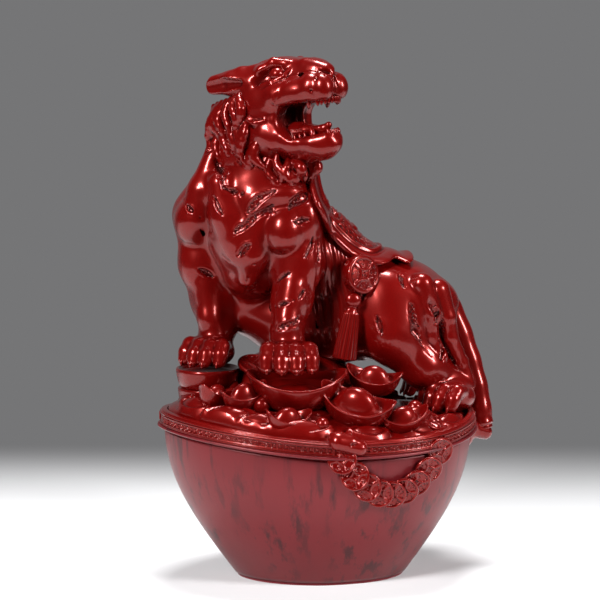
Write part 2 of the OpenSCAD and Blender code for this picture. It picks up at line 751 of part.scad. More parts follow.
// Medallion with its knot, and the tassel under it, one set on each flank
function flank_place(side) = place([14, side < 0 ? -8.5 : 33.5, 64]);
module medallion(side) {
    translate(flank_place(side)) rotate([0, 0, -25 * side]) rotate([-83 * side, 0, 0]) {
        difference() {
            cylinder(d = medallion_d, h = 4.4, $fn = 48, center = true);
            translate([0, 0, 1.5]) cylinder(d = medallion_d * 0.72, h = 3, $fn = 48);
        }
        cylinder(d = medallion_d * 0.3, h = 5, $fn = 24, center = true);
    }
}
module medallion_on(side) {
    color(deep_red) difference() {
        medallion(side);
        torso_solid();
        saddle_cloth();
        cloth_border();
    }
}
module medallion_left() { medallion_on(-1); }
module medallion_right() { medallion_on(1); }
module tassel(side) {
    top = flank_place(side) + [-2.8 * ts, side * ts, -medallion_d / 2 - 2];
    hull() {
        translate(top) sphere(r = 3.2 * ts, $fn = ball_fn);
        translate(top + [-0.6, side * 0.5, -4] * ts) sphere(r = 2.6 * ts, $fn = ball_fn);
    }
    hull() {
        translate(top + [-1, side * 0.5, -5] * ts) sphere(r = 3 * ts, $fn = ball_fn);
        translate(top + [-4.2, side * 2, -20] * ts) scale([1.1, 0.9, 1]) sphere(r = 4.6 * ts, $fn = ball_fn);
    }
}
module tassel_left() {
    color(deep_red) difference() {
        tassel(-1);
        torso_solid();
        legs_solid();
        medallion(-1);
        treasure_bed_solid();
        heap_ingot(5);
    }
}
module tassel_right() {
    color(deep_red) difference() {
        tassel(1);
        torso_solid();
        legs_solid();
        medallion(1);
        treasure_bed_solid();
    }
}

felt_pad();
closing_plate();
ingot_bowl();
rim_lip();
rim_band();
fret_panels();
string_boss();
tail_perch();
treasure_bed();
paw_dish();
paw_stack_low();
paw_stack_high();
heap_beads();
heap_bars();
for (i = [1:heap_ingots]) heap_ingot(i);
for (i = [1:heap_coins]) heap_coin(i);
for (i = [1:string_coins]) string_coin(i);
torso();
foreleg_left();
foreleg_right();
hindleg_left();
hindleg_right();
forepaw_left();
forepaw_right();
hindpaw_left();
hindpaw_right();
claws();
tail();
head();
lower_jaw();
tongue();
upper_teeth();
lower_teeth();
eye_left();
eye_right();
mane();
saddle_cloth();
cloth_border();
medallion_left();
medallion_right();
tassel_left();
tassel_right();
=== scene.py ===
"""A tiger roaring on a heap of treasure, on a boat-shaped ingot base: carved, cast and lacquered deep red."""
import math
import bpy
import numpy as np
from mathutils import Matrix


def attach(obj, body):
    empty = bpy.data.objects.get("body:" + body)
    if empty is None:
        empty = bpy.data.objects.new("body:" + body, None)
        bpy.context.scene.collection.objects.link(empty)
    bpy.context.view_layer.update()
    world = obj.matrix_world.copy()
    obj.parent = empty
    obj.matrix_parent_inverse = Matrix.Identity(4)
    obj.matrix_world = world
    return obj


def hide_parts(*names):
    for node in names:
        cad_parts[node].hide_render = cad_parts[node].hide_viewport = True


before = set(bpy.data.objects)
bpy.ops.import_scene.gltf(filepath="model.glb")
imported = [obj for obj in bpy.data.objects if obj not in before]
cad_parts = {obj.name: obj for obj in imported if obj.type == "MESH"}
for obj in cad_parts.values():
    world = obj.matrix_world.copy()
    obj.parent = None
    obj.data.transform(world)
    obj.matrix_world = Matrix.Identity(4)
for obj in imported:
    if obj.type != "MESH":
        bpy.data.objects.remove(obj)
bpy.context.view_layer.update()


# ---------------------------------------------------------------- studio
# A pale table top that darkens to a grey room behind, two soft boxes, a top light and the camera.
# Nothing here belongs to the ornament.

MM = 0.001
VIEW_AZIMUTH, VIEW_ELEVATION = math.radians(-12), math.radians(8)
VIEW_DISTANCE, VIEW_TARGET = 0.9, (0.0, 0.0, 0.1)
ROOM_GREY = (0.178, 0.178, 0.178 * 1.02, 1)
WORLD_GREY, TABLE_WHITE = (0.035, 0.035, 0.036, 1), (0.70, 0.70, 0.71, 1)
FADE_START, FADE_END = 0.055, 0.255


def new_material(name):
    """A material that has nodes, and its node tree."""
    material = bpy.data.materials.new(name)
    material.use_nodes = True
    return material, material.node_tree


def set_inputs(node, values):
    """Gives a node's inputs, by name or number, their values."""
    for key, value in values.items():
        node.inputs[key].default_value = value


def add_node(tree, kind, values=None, **settings):
    """A shader node of a kind in the tree, with its settings and then its inputs' values."""
    node = tree.nodes.new("ShaderNode" + kind)
    for key, value in settings.items():
        setattr(node, key, value)
    set_inputs(node, values or {})
    return node


def wire(tree, rows):
    """Links in the tree, from rows of node, output, node, input."""
    for source, output, target, into in rows:
        tree.links.new(source.outputs[output], target.inputs[into])


scene = bpy.context.scene
scene.view_settings.view_transform = "Standard"
world = bpy.data.worlds.new("room")
world.use_nodes = True
set_inputs(world.node_tree.nodes["Background"], {"Color": WORLD_GREY})
scene.world = world

toward_camera = np.array([math.sin(VIEW_AZIMUTH) * math.cos(VIEW_ELEVATION),
                          -math.cos(VIEW_AZIMUTH) * math.cos(VIEW_ELEVATION), math.sin(VIEW_ELEVATION)])
camera_data = bpy.data.cameras.new("view")
camera_data.lens, camera_data.sensor_width = 142.1, 36.0
camera_data.shift_x, camera_data.shift_y = -0.0333, 0.0221
camera = bpy.data.objects.new("view", camera_data)
camera.location = tuple(np.array(VIEW_TARGET) + toward_camera * VIEW_DISTANCE)
camera.rotation_euler = (math.pi / 2 - VIEW_ELEVATION, 0, VIEW_AZIMUTH)
scene.collection.objects.link(camera)
scene.camera = camera


def soft_box(name, place, aim, size, watts, tint=(1, 1, 1)):
    """An area light of the given size at a place, turned so that its -Z looks at the aim."""
    data = bpy.data.lights.new(name, "AREA")
    data.shape, data.size, data.size_y = "RECTANGLE", size[0], size[1]
    data.energy, data.color = watts, tint
    lamp = bpy.data.objects.new(name, data)
    away = np.array(place, float) - np.array(aim, float)
    away /= np.linalg.norm(away)
    lamp.location = place
    lamp.rotation_euler = (math.acos(away[2]), 0, math.atan2(away[1], away[0]) + math.pi / 2)
    scene.collection.objects.link(lamp)


soft_box("key", (-0.72, -0.60, 0.66), (0, 0, 0.12), (0.22, 0.40), 17.0)
soft_box("fill", (0.66, -0.62, 0.50), (0, 0, 0.10), (0.18, 0.36), 10.5)
soft_box("top", (0.05, 0.10, 0.95), (0, 0, 0.12), (0.32, 0.24), 11.0)

wall_mesh = bpy.data.meshes.new("grey_wall")
wall_mesh.from_pydata([(-3, 3.0, -1), (3, 3.0, -1), (3, 3.0, 3), (-3, 3.0, 3)], [], [(3, 2, 1, 0)])
wall = bpy.data.objects.new("grey_wall", wall_mesh)
scene.collection.objects.link(wall)
backdrop, tree = new_material("grey_backdrop")
tree.nodes.clear()
wire(tree, [(add_node(tree, "Emission", {"Color": ROOM_GREY}), "Emission",
             add_node(tree, "OutputMaterial"), "Surface")])
wall_mesh.materials.append(backdrop)

floor_mesh = bpy.data.meshes.new("table_top")
floor_mesh.from_pydata([(-0.32, -0.22, 0), (0.40, -0.22, 0), (2.5, 3.5, 0), (-2.5, 3.5, 0)], [],
                       [(0, 1, 2, 3)])
floor = bpy.data.objects.new("table_top", floor_mesh)
scene.collection.objects.link(floor)
pale, tree = new_material("pale_table")
tree.nodes.clear()
out, blend = add_node(tree, "OutputMaterial"), add_node(tree, "MixShader")
white = add_node(tree, "BsdfDiffuse", {"Color": TABLE_WHITE})
grey = add_node(tree, "Emission", {"Color": ROOM_GREY})
place = add_node(tree, "TexCoord")
depth = add_node(tree, "VectorMath", {1: (-math.sin(VIEW_AZIMUTH), math.cos(VIEW_AZIMUTH), 0)},
                 operation="DOT_PRODUCT")
ramp = add_node(tree, "MapRange", {"From Min": FADE_START, "From Max": FADE_END},
                interpolation_type="SMOOTHSTEP")
wire(tree, [(place, "Object", depth, 0), (depth, "Value", ramp, "Value"), (ramp, "Result", blend, "Fac"),
            (white, "BSDF", blend, 1), (grey, "Emission", blend, 2), (blend, "Shader", out, "Surface")])
floor_mesh.materials.append(pale)


# ---------------------------------------------------------------- felt pad and closing plate
# A die-cut pad of pressed red felt glued under the foot, and the resin plate above it that closes
# the hollow base. Both are flat cut sheets, so the frame's own pieces stay and get their finish.

def felt_finish(name):
    """Felt: a fibre noise mixes a darker and a lighter red and lifts a fine bump."""
    material, tree = new_material(name)
    shader = tree.nodes["Principled BSDF"]
    set_inputs(shader, {"Roughness": 0.95, "Sheen Weight": 0.3})
    place = add_node(tree, "TexCoord")
    fibre = add_node(tree, "TexNoise", {"Scale": 1500, "Detail": 6})
    tint = add_node(tree, "Mix", {"A": (0.10, 0.006, 0.010, 1), "B": (0.24, 0.018, 0.028, 1)},
                    data_type="RGBA")
    bump = add_node(tree, "Bump", {"Strength": 0.5, "Distance": 0.0002})
    wire(tree, [(place, "Object", fibre, "Vector"), (fibre, "Fac", tint, "Factor"),
                (tint, "Result", shader, "Base Color"), (fibre, "Fac", bump, "Height"),
                (bump, "Normal", shader, "Normal")])
    return material


def finish_sheet(name, material):
    """Gives one of the frame's own pieces a material in place of its plain one."""
    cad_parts[name].data.materials.clear()
    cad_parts[name].data.materials.append(material)


finish_sheet("felt_pad", felt_finish("pressed_felt"))


# ---------------------------------------------------------------- hollow base
# The boat-shaped ingot: one cast shell, open underneath, with a pointed prow and a blunter stern.
# Its satin lacquer is rubbed thin, so dark upright grain shows through.

BASE_LENGTH, BASE_WIDTH, BASE_HEIGHT = 117.0, 88.0, 51.5
FOOT_LENGTH, FOOT_WIDTH = 66.0, 50.0
WALL, FELT = 4.0, 1.2
PROW_RISE, STERN_RISE, RIM_LEAD = 6.5, 4.5, 1.2
LIP_HEIGHT, BAND_HEIGHT = 1.8, 5.5
BAND_TOP = LIP_HEIGHT + BAND_HEIGHT


def signed_power(v, e):
    """The power e of the size of v, with v's sign kept."""
    return np.sign(v) * np.abs(v) ** e


def boat_plan(t, half_length, half_width):
    """Outline of the boat at angle t: a superellipse of exponent 1.8 ahead and 2.4 behind."""
    n = np.where(np.cos(t) < 0, 1.8, 2.4)
    return half_length * signed_power(np.cos(t), 2 / n), half_width * signed_power(np.sin(t), 2 / n)


def sheer(t):
    """Rise of the rim: a power of the cosine, 1.4 towards the prow and 3 towards the stern."""
    c = np.cos(t)
    return np.where(c < 0, PROW_RISE * np.abs(c) ** 1.4, STERN_RISE * np.abs(c) ** 3)


def sheer_at(x):
    """Rise of the rim at x: a power of the share of the half length, 1.26 and 3.6."""
    q = np.minimum(1, np.abs(x + RIM_LEAD) * 2 / BASE_LENGTH)
    return np.where(x < -RIM_LEAD, PROW_RISE * q ** 1.26, STERN_RISE * q ** 3.6)


def half_sizes(swell):
    """Half of the outline's length and width when it has grown by a share from foot to rim."""
    return ((FOOT_LENGTH + (BASE_LENGTH - FOOT_LENGTH) * swell) / 2,
            (FOOT_WIDTH + (BASE_WIDTH - FOOT_WIDTH) * swell) / 2)


def wall_surface(t, u, inset=0.0):
    """The wall: the outline grows from foot to rim with the sine of the height share u."""
    swell = np.sin(np.pi / 2 * u)
    half_length, half_width = half_sizes(swell)
    x, y = boat_plan(t, half_length - inset, half_width - inset)
    return np.stack([x - RIM_LEAD * swell, y, FELT + u * (BASE_HEIGHT + sheer(t) - FELT)], -1)


def rim_surface(t, out, up):
    """A point beside the rim: out from the outline and up from the rim line."""
    x, y = boat_plan(t, BASE_LENGTH / 2 + out, BASE_WIDTH / 2 + out)
    return np.stack(np.broadcast_arrays(x - RIM_LEAD, y, BASE_HEIGHT + sheer(t) + up), -1)


def grid_faces(rows, columns, round_rows, round_columns, start=0):
    """Quads of a grid of points, closed on itself along rows or columns where asked."""
    i = np.arange(rows if round_rows else rows - 1)[:, None]
    j = np.arange(columns if round_columns else columns - 1)[None, :]
    i2, j2 = (i + 1) % rows, (j + 1) % columns
    quads = np.stack(np.broadcast_arrays(i * columns + j, i2 * columns + j, i2 * columns + j2,
                                         i * columns + j2), -1)
    return quads.reshape(-1, 4) + start


def triangles(a, b, c):
    """Triangles from three rows of point numbers, as faces whose fourth number is -1."""
    return np.stack(np.broadcast_arrays(a, b, c, -1), -1)


def turned_over(faces):
    """The faces with their points in the opposite order."""
    return np.where(faces[:, 3:] < 0, faces[:, [0, 2, 1, 3]], faces[:, ::-1])


def neighbours(faces):
    """Each edge of the faces, once for each face that has it. A triangle's fourth number is -1."""
    faces = np.where(faces < 0, faces[:, 2:3], faces)
    return np.concatenate([faces[:, [k, (k + 1) % 4]] for k in range(4)])


def eased(points, faces, rounds, pull=0.5):
    """Points drawn towards the mean of their neighbours, a number of rounds."""
    ends, count = neighbours(faces), len(points)
    share = np.maximum(np.bincount(ends.ravel(), minlength=count), 1)[:, None]
    for _ in range(rounds):
        total = np.stack([np.bincount(ends[:, 0], points[ends[:, 1], c], count)
                          + np.bincount(ends[:, 1], points[ends[:, 0], c], count) for c in range(3)], -1)
        points = points + pull * (total / share - points)
    return points


def outward(points, faces):
    """Unit normals at the points, from the cross product of each quad's diagonals."""
    faces = np.where(faces < 0, faces[:, 2:3], faces)
    flat = np.cross(points[faces[:, 2]] - points[faces[:, 0]], points[faces[:, 3]] - points[faces[:, 1]])
    total = np.stack([sum(np.bincount(faces[:, k], flat[:, c], len(points)) for k in range(4))
                      for c in range(3)], -1)
    return total / np.maximum(np.linalg.norm(total, axis=1, keepdims=True), 1e-12)


def facing_out(points, faces):
    """The faces, turned over if the signed volume of their fans about the origin is negative."""
    f = np.where(faces < 0, faces[:, 2:3], faces)
    a, b, c, d = (points[f[:, k]] for k in range(4))
    volume = (a * (np.cross(b, c) + np.cross(c, d))).sum()
    return points, faces if volume > 0 else turned_over(faces)


def hollowness(points, faces, rounds=6):
    """How far a point lies below the eased surface, in mm: where the dark wash gathers, which is mostly
    painted shade in the hollows and partly an antiquing wash.
    """
    return np.sum((eased(points, faces, rounds) - points) * outward(points, faces), -1)


def make_piece(name, points, faces, material, stands_for, wash_and_shade=None, stipple=None, normals=None):
    """Puts points in mm and quads into a mesh at the origin, with its wash_and_shade attribute (painted
    shade in the hollows, partly an antiquing wash) and its stipple attribute, its finish and the frame
    pieces that it stands for. Given normals keep a seam between two parts of one skin from showing."""
    points, faces = np.asarray(points, float), np.asarray(faces, np.int32)
    mesh = bpy.data.meshes.new(name)
    mesh.vertices.add(len(points))
    mesh.vertices.foreach_set("co", (points * MM).astype(np.float32).ravel())
    sizes = (faces >= 0).sum(1)
    loops = faces[faces >= 0]
    mesh.loops.add(len(loops))
    mesh.loops.foreach_set("vertex_index", loops.astype(np.int32))
    mesh.polygons.add(len(faces))
    mesh.polygons.foreach_set("loop_start", np.concatenate([[0], np.cumsum(sizes)[:-1]]).astype(np.int32))
    mesh.polygons.foreach_set("use_smooth", np.ones(len(faces), bool))
    mesh.update(calc_edges=True)
    mesh.validate()
    if normals is not None:
        mesh.normals_split_custom_set_from_vertices(normals.tolist())
    for label, values in (("wash_and_shade", wash_and_shade), ("stipple", stipple)):
        layer = mesh.attributes.new(label, "FLOAT", "POINT")
        layer.data.foreach_set("value", np.zeros(len(points), np.float32) if values is None
                               else np.asarray(values, np.float32))
    mesh.materials.append(material)
    piece = bpy.data.objects.new(name + "_cast", mesh)
    scene.collection.objects.link(piece)
    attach(piece, "root")
    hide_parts(*stands_for)
    return piece


def satin_finish(name, grain_depth):
    """Satin lacquer: noise stretched along the height darkens narrow upright streaks, a broad
    noise clouds the red, and a fine one lifts a slight bump."""
    material, tree = new_material(name)
    shader = tree.nodes["Principled BSDF"]
    set_inputs(shader, {"Roughness": 0.42, "Specular Tint": (1.0, 0.35, 0.36, 1), "Coat Weight": 0.30,
                        "Coat Roughness": 0.36})
    place = add_node(tree, "TexCoord")
    stretch = add_node(tree, "Mapping", {"Scale": (1, 1, 0.09)})
    streak = add_node(tree, "TexNoise", {"Scale": 230, "Detail": 5, "Roughness": 0.62})
    cloud = add_node(tree, "TexNoise", {"Scale": 38, "Detail": 4})
    fine = add_node(tree, "TexNoise", {"Scale": 900, "Detail": 3})
    edge = add_node(tree, "MapRange", {"From Min": 0.51, "From Max": 0.62})
    patch = add_node(tree, "MapRange", {"From Min": 0.38, "From Max": 0.58})
    both = add_node(tree, "Math", operation="MULTIPLY")
    deep = add_node(tree, "Math", {1: grain_depth}, operation="MULTIPLY")
    red = add_node(tree, "Mix", {"A": (0.080, 0.0035, 0.0055, 1), "B": (0.135, 0.0060, 0.0090, 1)},
                   data_type="RGBA")
    dark = add_node(tree, "Mix", {"B": (0.014, 0.0015, 0.0025, 1)}, data_type="RGBA")
    bump = add_node(tree, "Bump", {"Strength": 0.12, "Distance": 0.0002})
    wire(tree, [(place, "Object", stretch, "Vector"), (stretch, "Vector", streak, "Vector"),
                (place, "Object", cloud, "Vector"), (place, "Object", fine, "Vector"),
                (streak, "Fac", edge, "Value"), (cloud, "Fac", patch, "Value"),
                (edge, "Result", both, 0), (patch, "Result", both, 1), (both, "Value", deep, 0),
                (cloud, "Fac", red, "Factor"), (red, "Result", dark, "A"), (deep, "Value", dark, "Factor"),
                (dark, "Result", shader, "Base Color"), (fine, "Fac", bump, "Height"),
                (bump, "Normal", shader, "Normal")])
    return material


satin = satin_finish("satin_red_lacquer", 0.85)
finish_sheet("closing_plate", satin)

turns = np.linspace(0, 2 * np.pi, 360, endpoint=False)
outer_share = np.linspace(0, 1, 48)
inner_share = np.linspace(1, 0, 16)
shell = np.concatenate([wall_surface(turns[:, None], outer_share[None, :]),
                        wall_surface(turns[:, None], inner_share[None, :], WALL)], 1)
make_piece("ingot_bowl", shell.reshape(-1, 3), grid_faces(len(turns), shell.shape[1], True, True),
           satin, ["ingot_bowl"])


# ---------------------------------------------------------------- rim lip
# A ledge that flares out of the base's wall under the band, cast with the base and satin like it.
# Its section is a cove below, a rounded nose and a flat top.

LIP_OUT = 2.8


def rounded_section(corners, radius, steps=5):
    """A closed section whose corners are rounded: each corner is swept by a quadratic curve
    that starts and ends a radius away along its two sides."""
    corners = np.array(corners, float)
    before, after = np.roll(corners, 1, 0) - corners, np.roll(corners, -1, 0) - corners
    reach_b = np.minimum(radius, np.linalg.norm(before, axis=1) * 0.45)[:, None]
    reach_a = np.minimum(radius, np.linalg.norm(after, axis=1) * 0.45)[:, None]
    start = corners + before / np.linalg.norm(before, axis=1)[:, None] * reach_b
    end = corners + after / np.linalg.norm(after, axis=1)[:, None] * reach_a
    s = np.linspace(0, 1, steps)[None, :, None]
    curve = start[:, None] * (1 - s) ** 2 + corners[:, None] * 2 * s * (1 - s) + end[:, None] * s ** 2
    return curve.reshape(-1, 2)


def rim_ring(section, steps=360):
    """A closed section carried once round the rim line, as points and quads."""
    t = np.linspace(0, 2 * np.pi, steps, endpoint=False)[:, None]
    points = rim_surface(t, section[None, :, 0], section[None, :, 1])
    return points.reshape(-1, 3), grid_faces(steps, len(section), True, True)


lip_section = rounded_section([(-WALL, 0.02), (0.1, 0.02), (0.9, 0.35), (LIP_OUT - 0.3, 0.7),
                               (LIP_OUT, 1.2),
                               (LIP_OUT - 0.2, LIP_HEIGHT), (-WALL, LIP_HEIGHT)], 0.4)
points, faces = rim_ring(lip_section)
make_piece("rim_lip", points, faces, satin, ["rim_lip"])


# ---------------------------------------------------------------- rim band and key-pattern panels
# The band stands on the lip and frames the heap. Along it run raised panels of a square key
# pattern, each in a thin frame; they are pressed in with the band and picked out by painted shade in their
# hollows, partly an antiquing wash.

BAND_OUT, BAND_WALL = 1.4, 2.4
PANEL_RELIEF, PANEL_MARGIN = 0.7, 0.8
PANEL_SPANS = [(18, 52), (56, 88), (94, 172)]
STIPPLE_DEPTH = 0.00035


def lacquer_finish(name):
    """Gloss lacquer: a deep red that a broad noise clouds, darkened by the piece's wash_and_shade where
    the surface is hollow, which is painted shade with a little antiquing wash, under a clear coat; its
    stipple attribute lets small dots into the bump and darkens them as painted shade in the pits."""
    material, tree = new_material(name)
    shader = tree.nodes["Principled BSDF"]
    set_inputs(shader, {"Roughness": 0.27, "Specular IOR Level": 0.85,
                        "Specular Tint": (1.0, 0.14, 0.12, 1),
                        "Coat Weight": 0.42, "Coat Roughness": 0.09, "Coat IOR": 1.45})
    place = add_node(tree, "TexCoord")
    cloud = add_node(tree, "TexNoise", {"Scale": 60, "Detail": 4})
    ripple = add_node(tree, "TexNoise", {"Scale": 420, "Detail": 2})
    dots = add_node(tree, "TexVoronoi", {"Scale": 900})
    wash_and_shade = add_node(tree, "Attribute", attribute_name="wash_and_shade")
    stipple = add_node(tree, "Attribute", attribute_name="stipple")
    red = add_node(tree, "Mix", {"A": (0.066, 0.0007, 0.0007, 1), "B": (0.130, 0.0014, 0.0010, 1)},
                   data_type="RGBA")
    # painted shade: the hollows' wash_and_shade mixes the red towards near-black, standing mostly for shade
    # and partly for an antiquing wash
    dark = add_node(tree, "Mix", {"B": (0.008, 0.0004, 0.0006, 1)}, data_type="RGBA")
    # painted shade: pit_shade darkens the base colour in the stipple dots, as shade inside the pits
    pit_shade = add_node(tree, "Mix", {"B": (0.006, 0.0004, 0.0006, 1)}, data_type="RGBA")
    hollow_shade_share = add_node(tree, "MapRange", {"From Min": 0.03, "From Max": 0.30, "To Max": 0.92})
    hole = add_node(tree, "MapRange", {"From Min": 0.45, "From Max": 0.15})
    deep = add_node(tree, "Math", operation="MULTIPLY")
    dent = add_node(tree, "Bump", {"Distance": STIPPLE_DEPTH}, invert=True)
    rough = add_node(tree, "Bump", {"Strength": 0.03, "Distance": 0.0003})
    wire(tree, [(place, "Object", cloud, "Vector"), (place, "Object", ripple, "Vector"),
                (place, "Object", dots, "Vector"), (cloud, "Fac", red, "Factor"),
                (red, "Result", dark, "A"),
                (wash_and_shade, "Fac", hollow_shade_share, "Value"), (hollow_shade_share, "Result", dark, "Factor"),
                (dots, "Distance", hole, "Value"), (hole, "Result", deep, 0), (stipple, "Fac", deep, 1),
                (dark, "Result", pit_shade, "A"), (deep, "Value", pit_shade, "Factor"),
                (pit_shade, "Result", shader, "Base Color"), (ripple, "Fac", rough, "Height"),
                (deep, "Value", dent, "Height"), (rough, "Normal", dent, "Normal"),
                (dent, "Normal", shader, "Normal"), (dent, "Normal", shader, "Coat Normal")])
    return material


def cast(name, points, faces, rounds=0, strength=1.0, stipple=None):
    """A lacquered casting that stands for the frame's piece of the same name. Its wash_and_shade, painted
    shade in its hollows with a little antiquing wash, is its hollowness over a number of rounds, times a
    strength; with no rounds it has none."""
    wash_and_shade = hollowness(points, faces, rounds) * strength if rounds else None
    make_piece(name, points, faces, lacquer, [name], wash_and_shade=wash_and_shade, stipple=stipple)


lacquer = lacquer_finish("gloss_red_lacquer")

band_section = rounded_section([(BAND_OUT - BAND_WALL, LIP_HEIGHT + 0.05),
                                (BAND_OUT + 0.5, LIP_HEIGHT + 0.05),
                                (BAND_OUT + 0.5, LIP_HEIGHT + 0.7), (BAND_OUT, LIP_HEIGHT + 0.8),
                                (BAND_OUT, BAND_TOP - 1.5), (BAND_OUT + 0.45, BAND_TOP - 1.4),
                                (BAND_OUT + 0.45, BAND_TOP - 0.85), (BAND_OUT - 0.1, BAND_TOP - 0.75),
                                (BAND_OUT - 0.2, BAND_TOP - 0.1), (BAND_OUT - BAND_WALL, BAND_TOP)], 0.22)
points, faces = rim_ring(band_section, 480)
cast("rim_band", points, faces, 8)


def key_relief(along, up):
    """Height share of the key pattern in square cells: two nested square lines, the outer one
    broken on alternate sides so that the inner one hooks out of it."""
    cell = np.floor(along)
    p, q = along - cell - 0.5, up - 0.5
    side = np.where(cell % 2 < 1, 1, -1)
    ring = np.maximum(np.abs(p), np.abs(q))
    line = np.clip(1 - np.abs(ring - 0.40) / 0.085, 0, 1) + np.clip(1 - np.abs(ring - 0.14) / 0.085, 0, 1)
    hook = np.clip(1 - np.abs(q + 0.14 * side) / 0.08, 0, 1) * (p * side > 0) * (np.abs(p) < 0.40)
    return np.clip(np.maximum(line, hook) * 1.6, 0, 1)


def key_panel(first, last):
    """A panel between two angles in degrees: a slab whose face carries the pattern in a frame."""
    low, high = LIP_HEIGHT + PANEL_MARGIN, BAND_TOP - 0.75 - PANEL_MARGIN
    t = np.radians(np.linspace(first, last, int(abs(last - first) * 5.4)))
    path = rim_surface(t, BAND_OUT, low)
    run = np.concatenate([[0], np.cumsum(np.linalg.norm(np.diff(path, axis=0), axis=1))])
    margin, height = 0.45, high - low
    cells = max(2, round((run[-1] - 2 * margin) / (height - 2 * margin)))
    v = np.linspace(0, 1, 24) * height
    along = (run[:, None] - margin) / (run[-1] - 2 * margin) * cells
    up = (v[None, :] - margin) / (height - 2 * margin)
    inside = (along > 0) & (along < cells) & (up > 0) & (up < 1)
    face = np.where(inside, 0.85 * key_relief(along, up), 1.0) * PANEL_RELIEF + 0.05
    points = rim_surface(t[:, None], BAND_OUT + face, low + v[None, :])
    back = rim_surface(t[:, None], BAND_OUT + 0.03, low + v[None, ::-1])
    grid = np.concatenate([points, back], 1)
    count = grid.shape[1]
    quads = grid_faces(len(t), count, False, True)
    half = np.arange(count // 2 - 1)
    lid = np.stack([half, half + 1, count - 2 - half, count - 1 - half], -1)
    return grid.reshape(-1, 3), np.concatenate([quads, lid, lid[:, ::-1] + (len(t) - 1) * count])


def joined(parts):
    """Several (points, quads) pairs as one, with the quads' numbers moved on."""
    starts = np.cumsum([0] + [len(p) for p, _ in parts[:-1]])
    return (np.concatenate([p for p, _ in parts]),
            np.concatenate([np.where(q < 0, -1, q + s) for (_, q), s in zip(parts, starts)]))


panels = [key_panel(a, b) for a, b in PANEL_SPANS] + [key_panel(-b, -a) for a, b in PANEL_SPANS]
points, faces = joined(panels)
cast("fret_panels", points, faces, 6, 1.6)


# ---------------------------------------------------------------- tiger: torso, legs and paws
# A sitting tiger, carved and cast in one run of surface and parted at the shoulders, hips, wrists
# and hocks. Muscles are broad and smooth; creases, stripes and toes are cut in and hold painted shade as a
# dark wash.

CLAY_CELL = 0.56


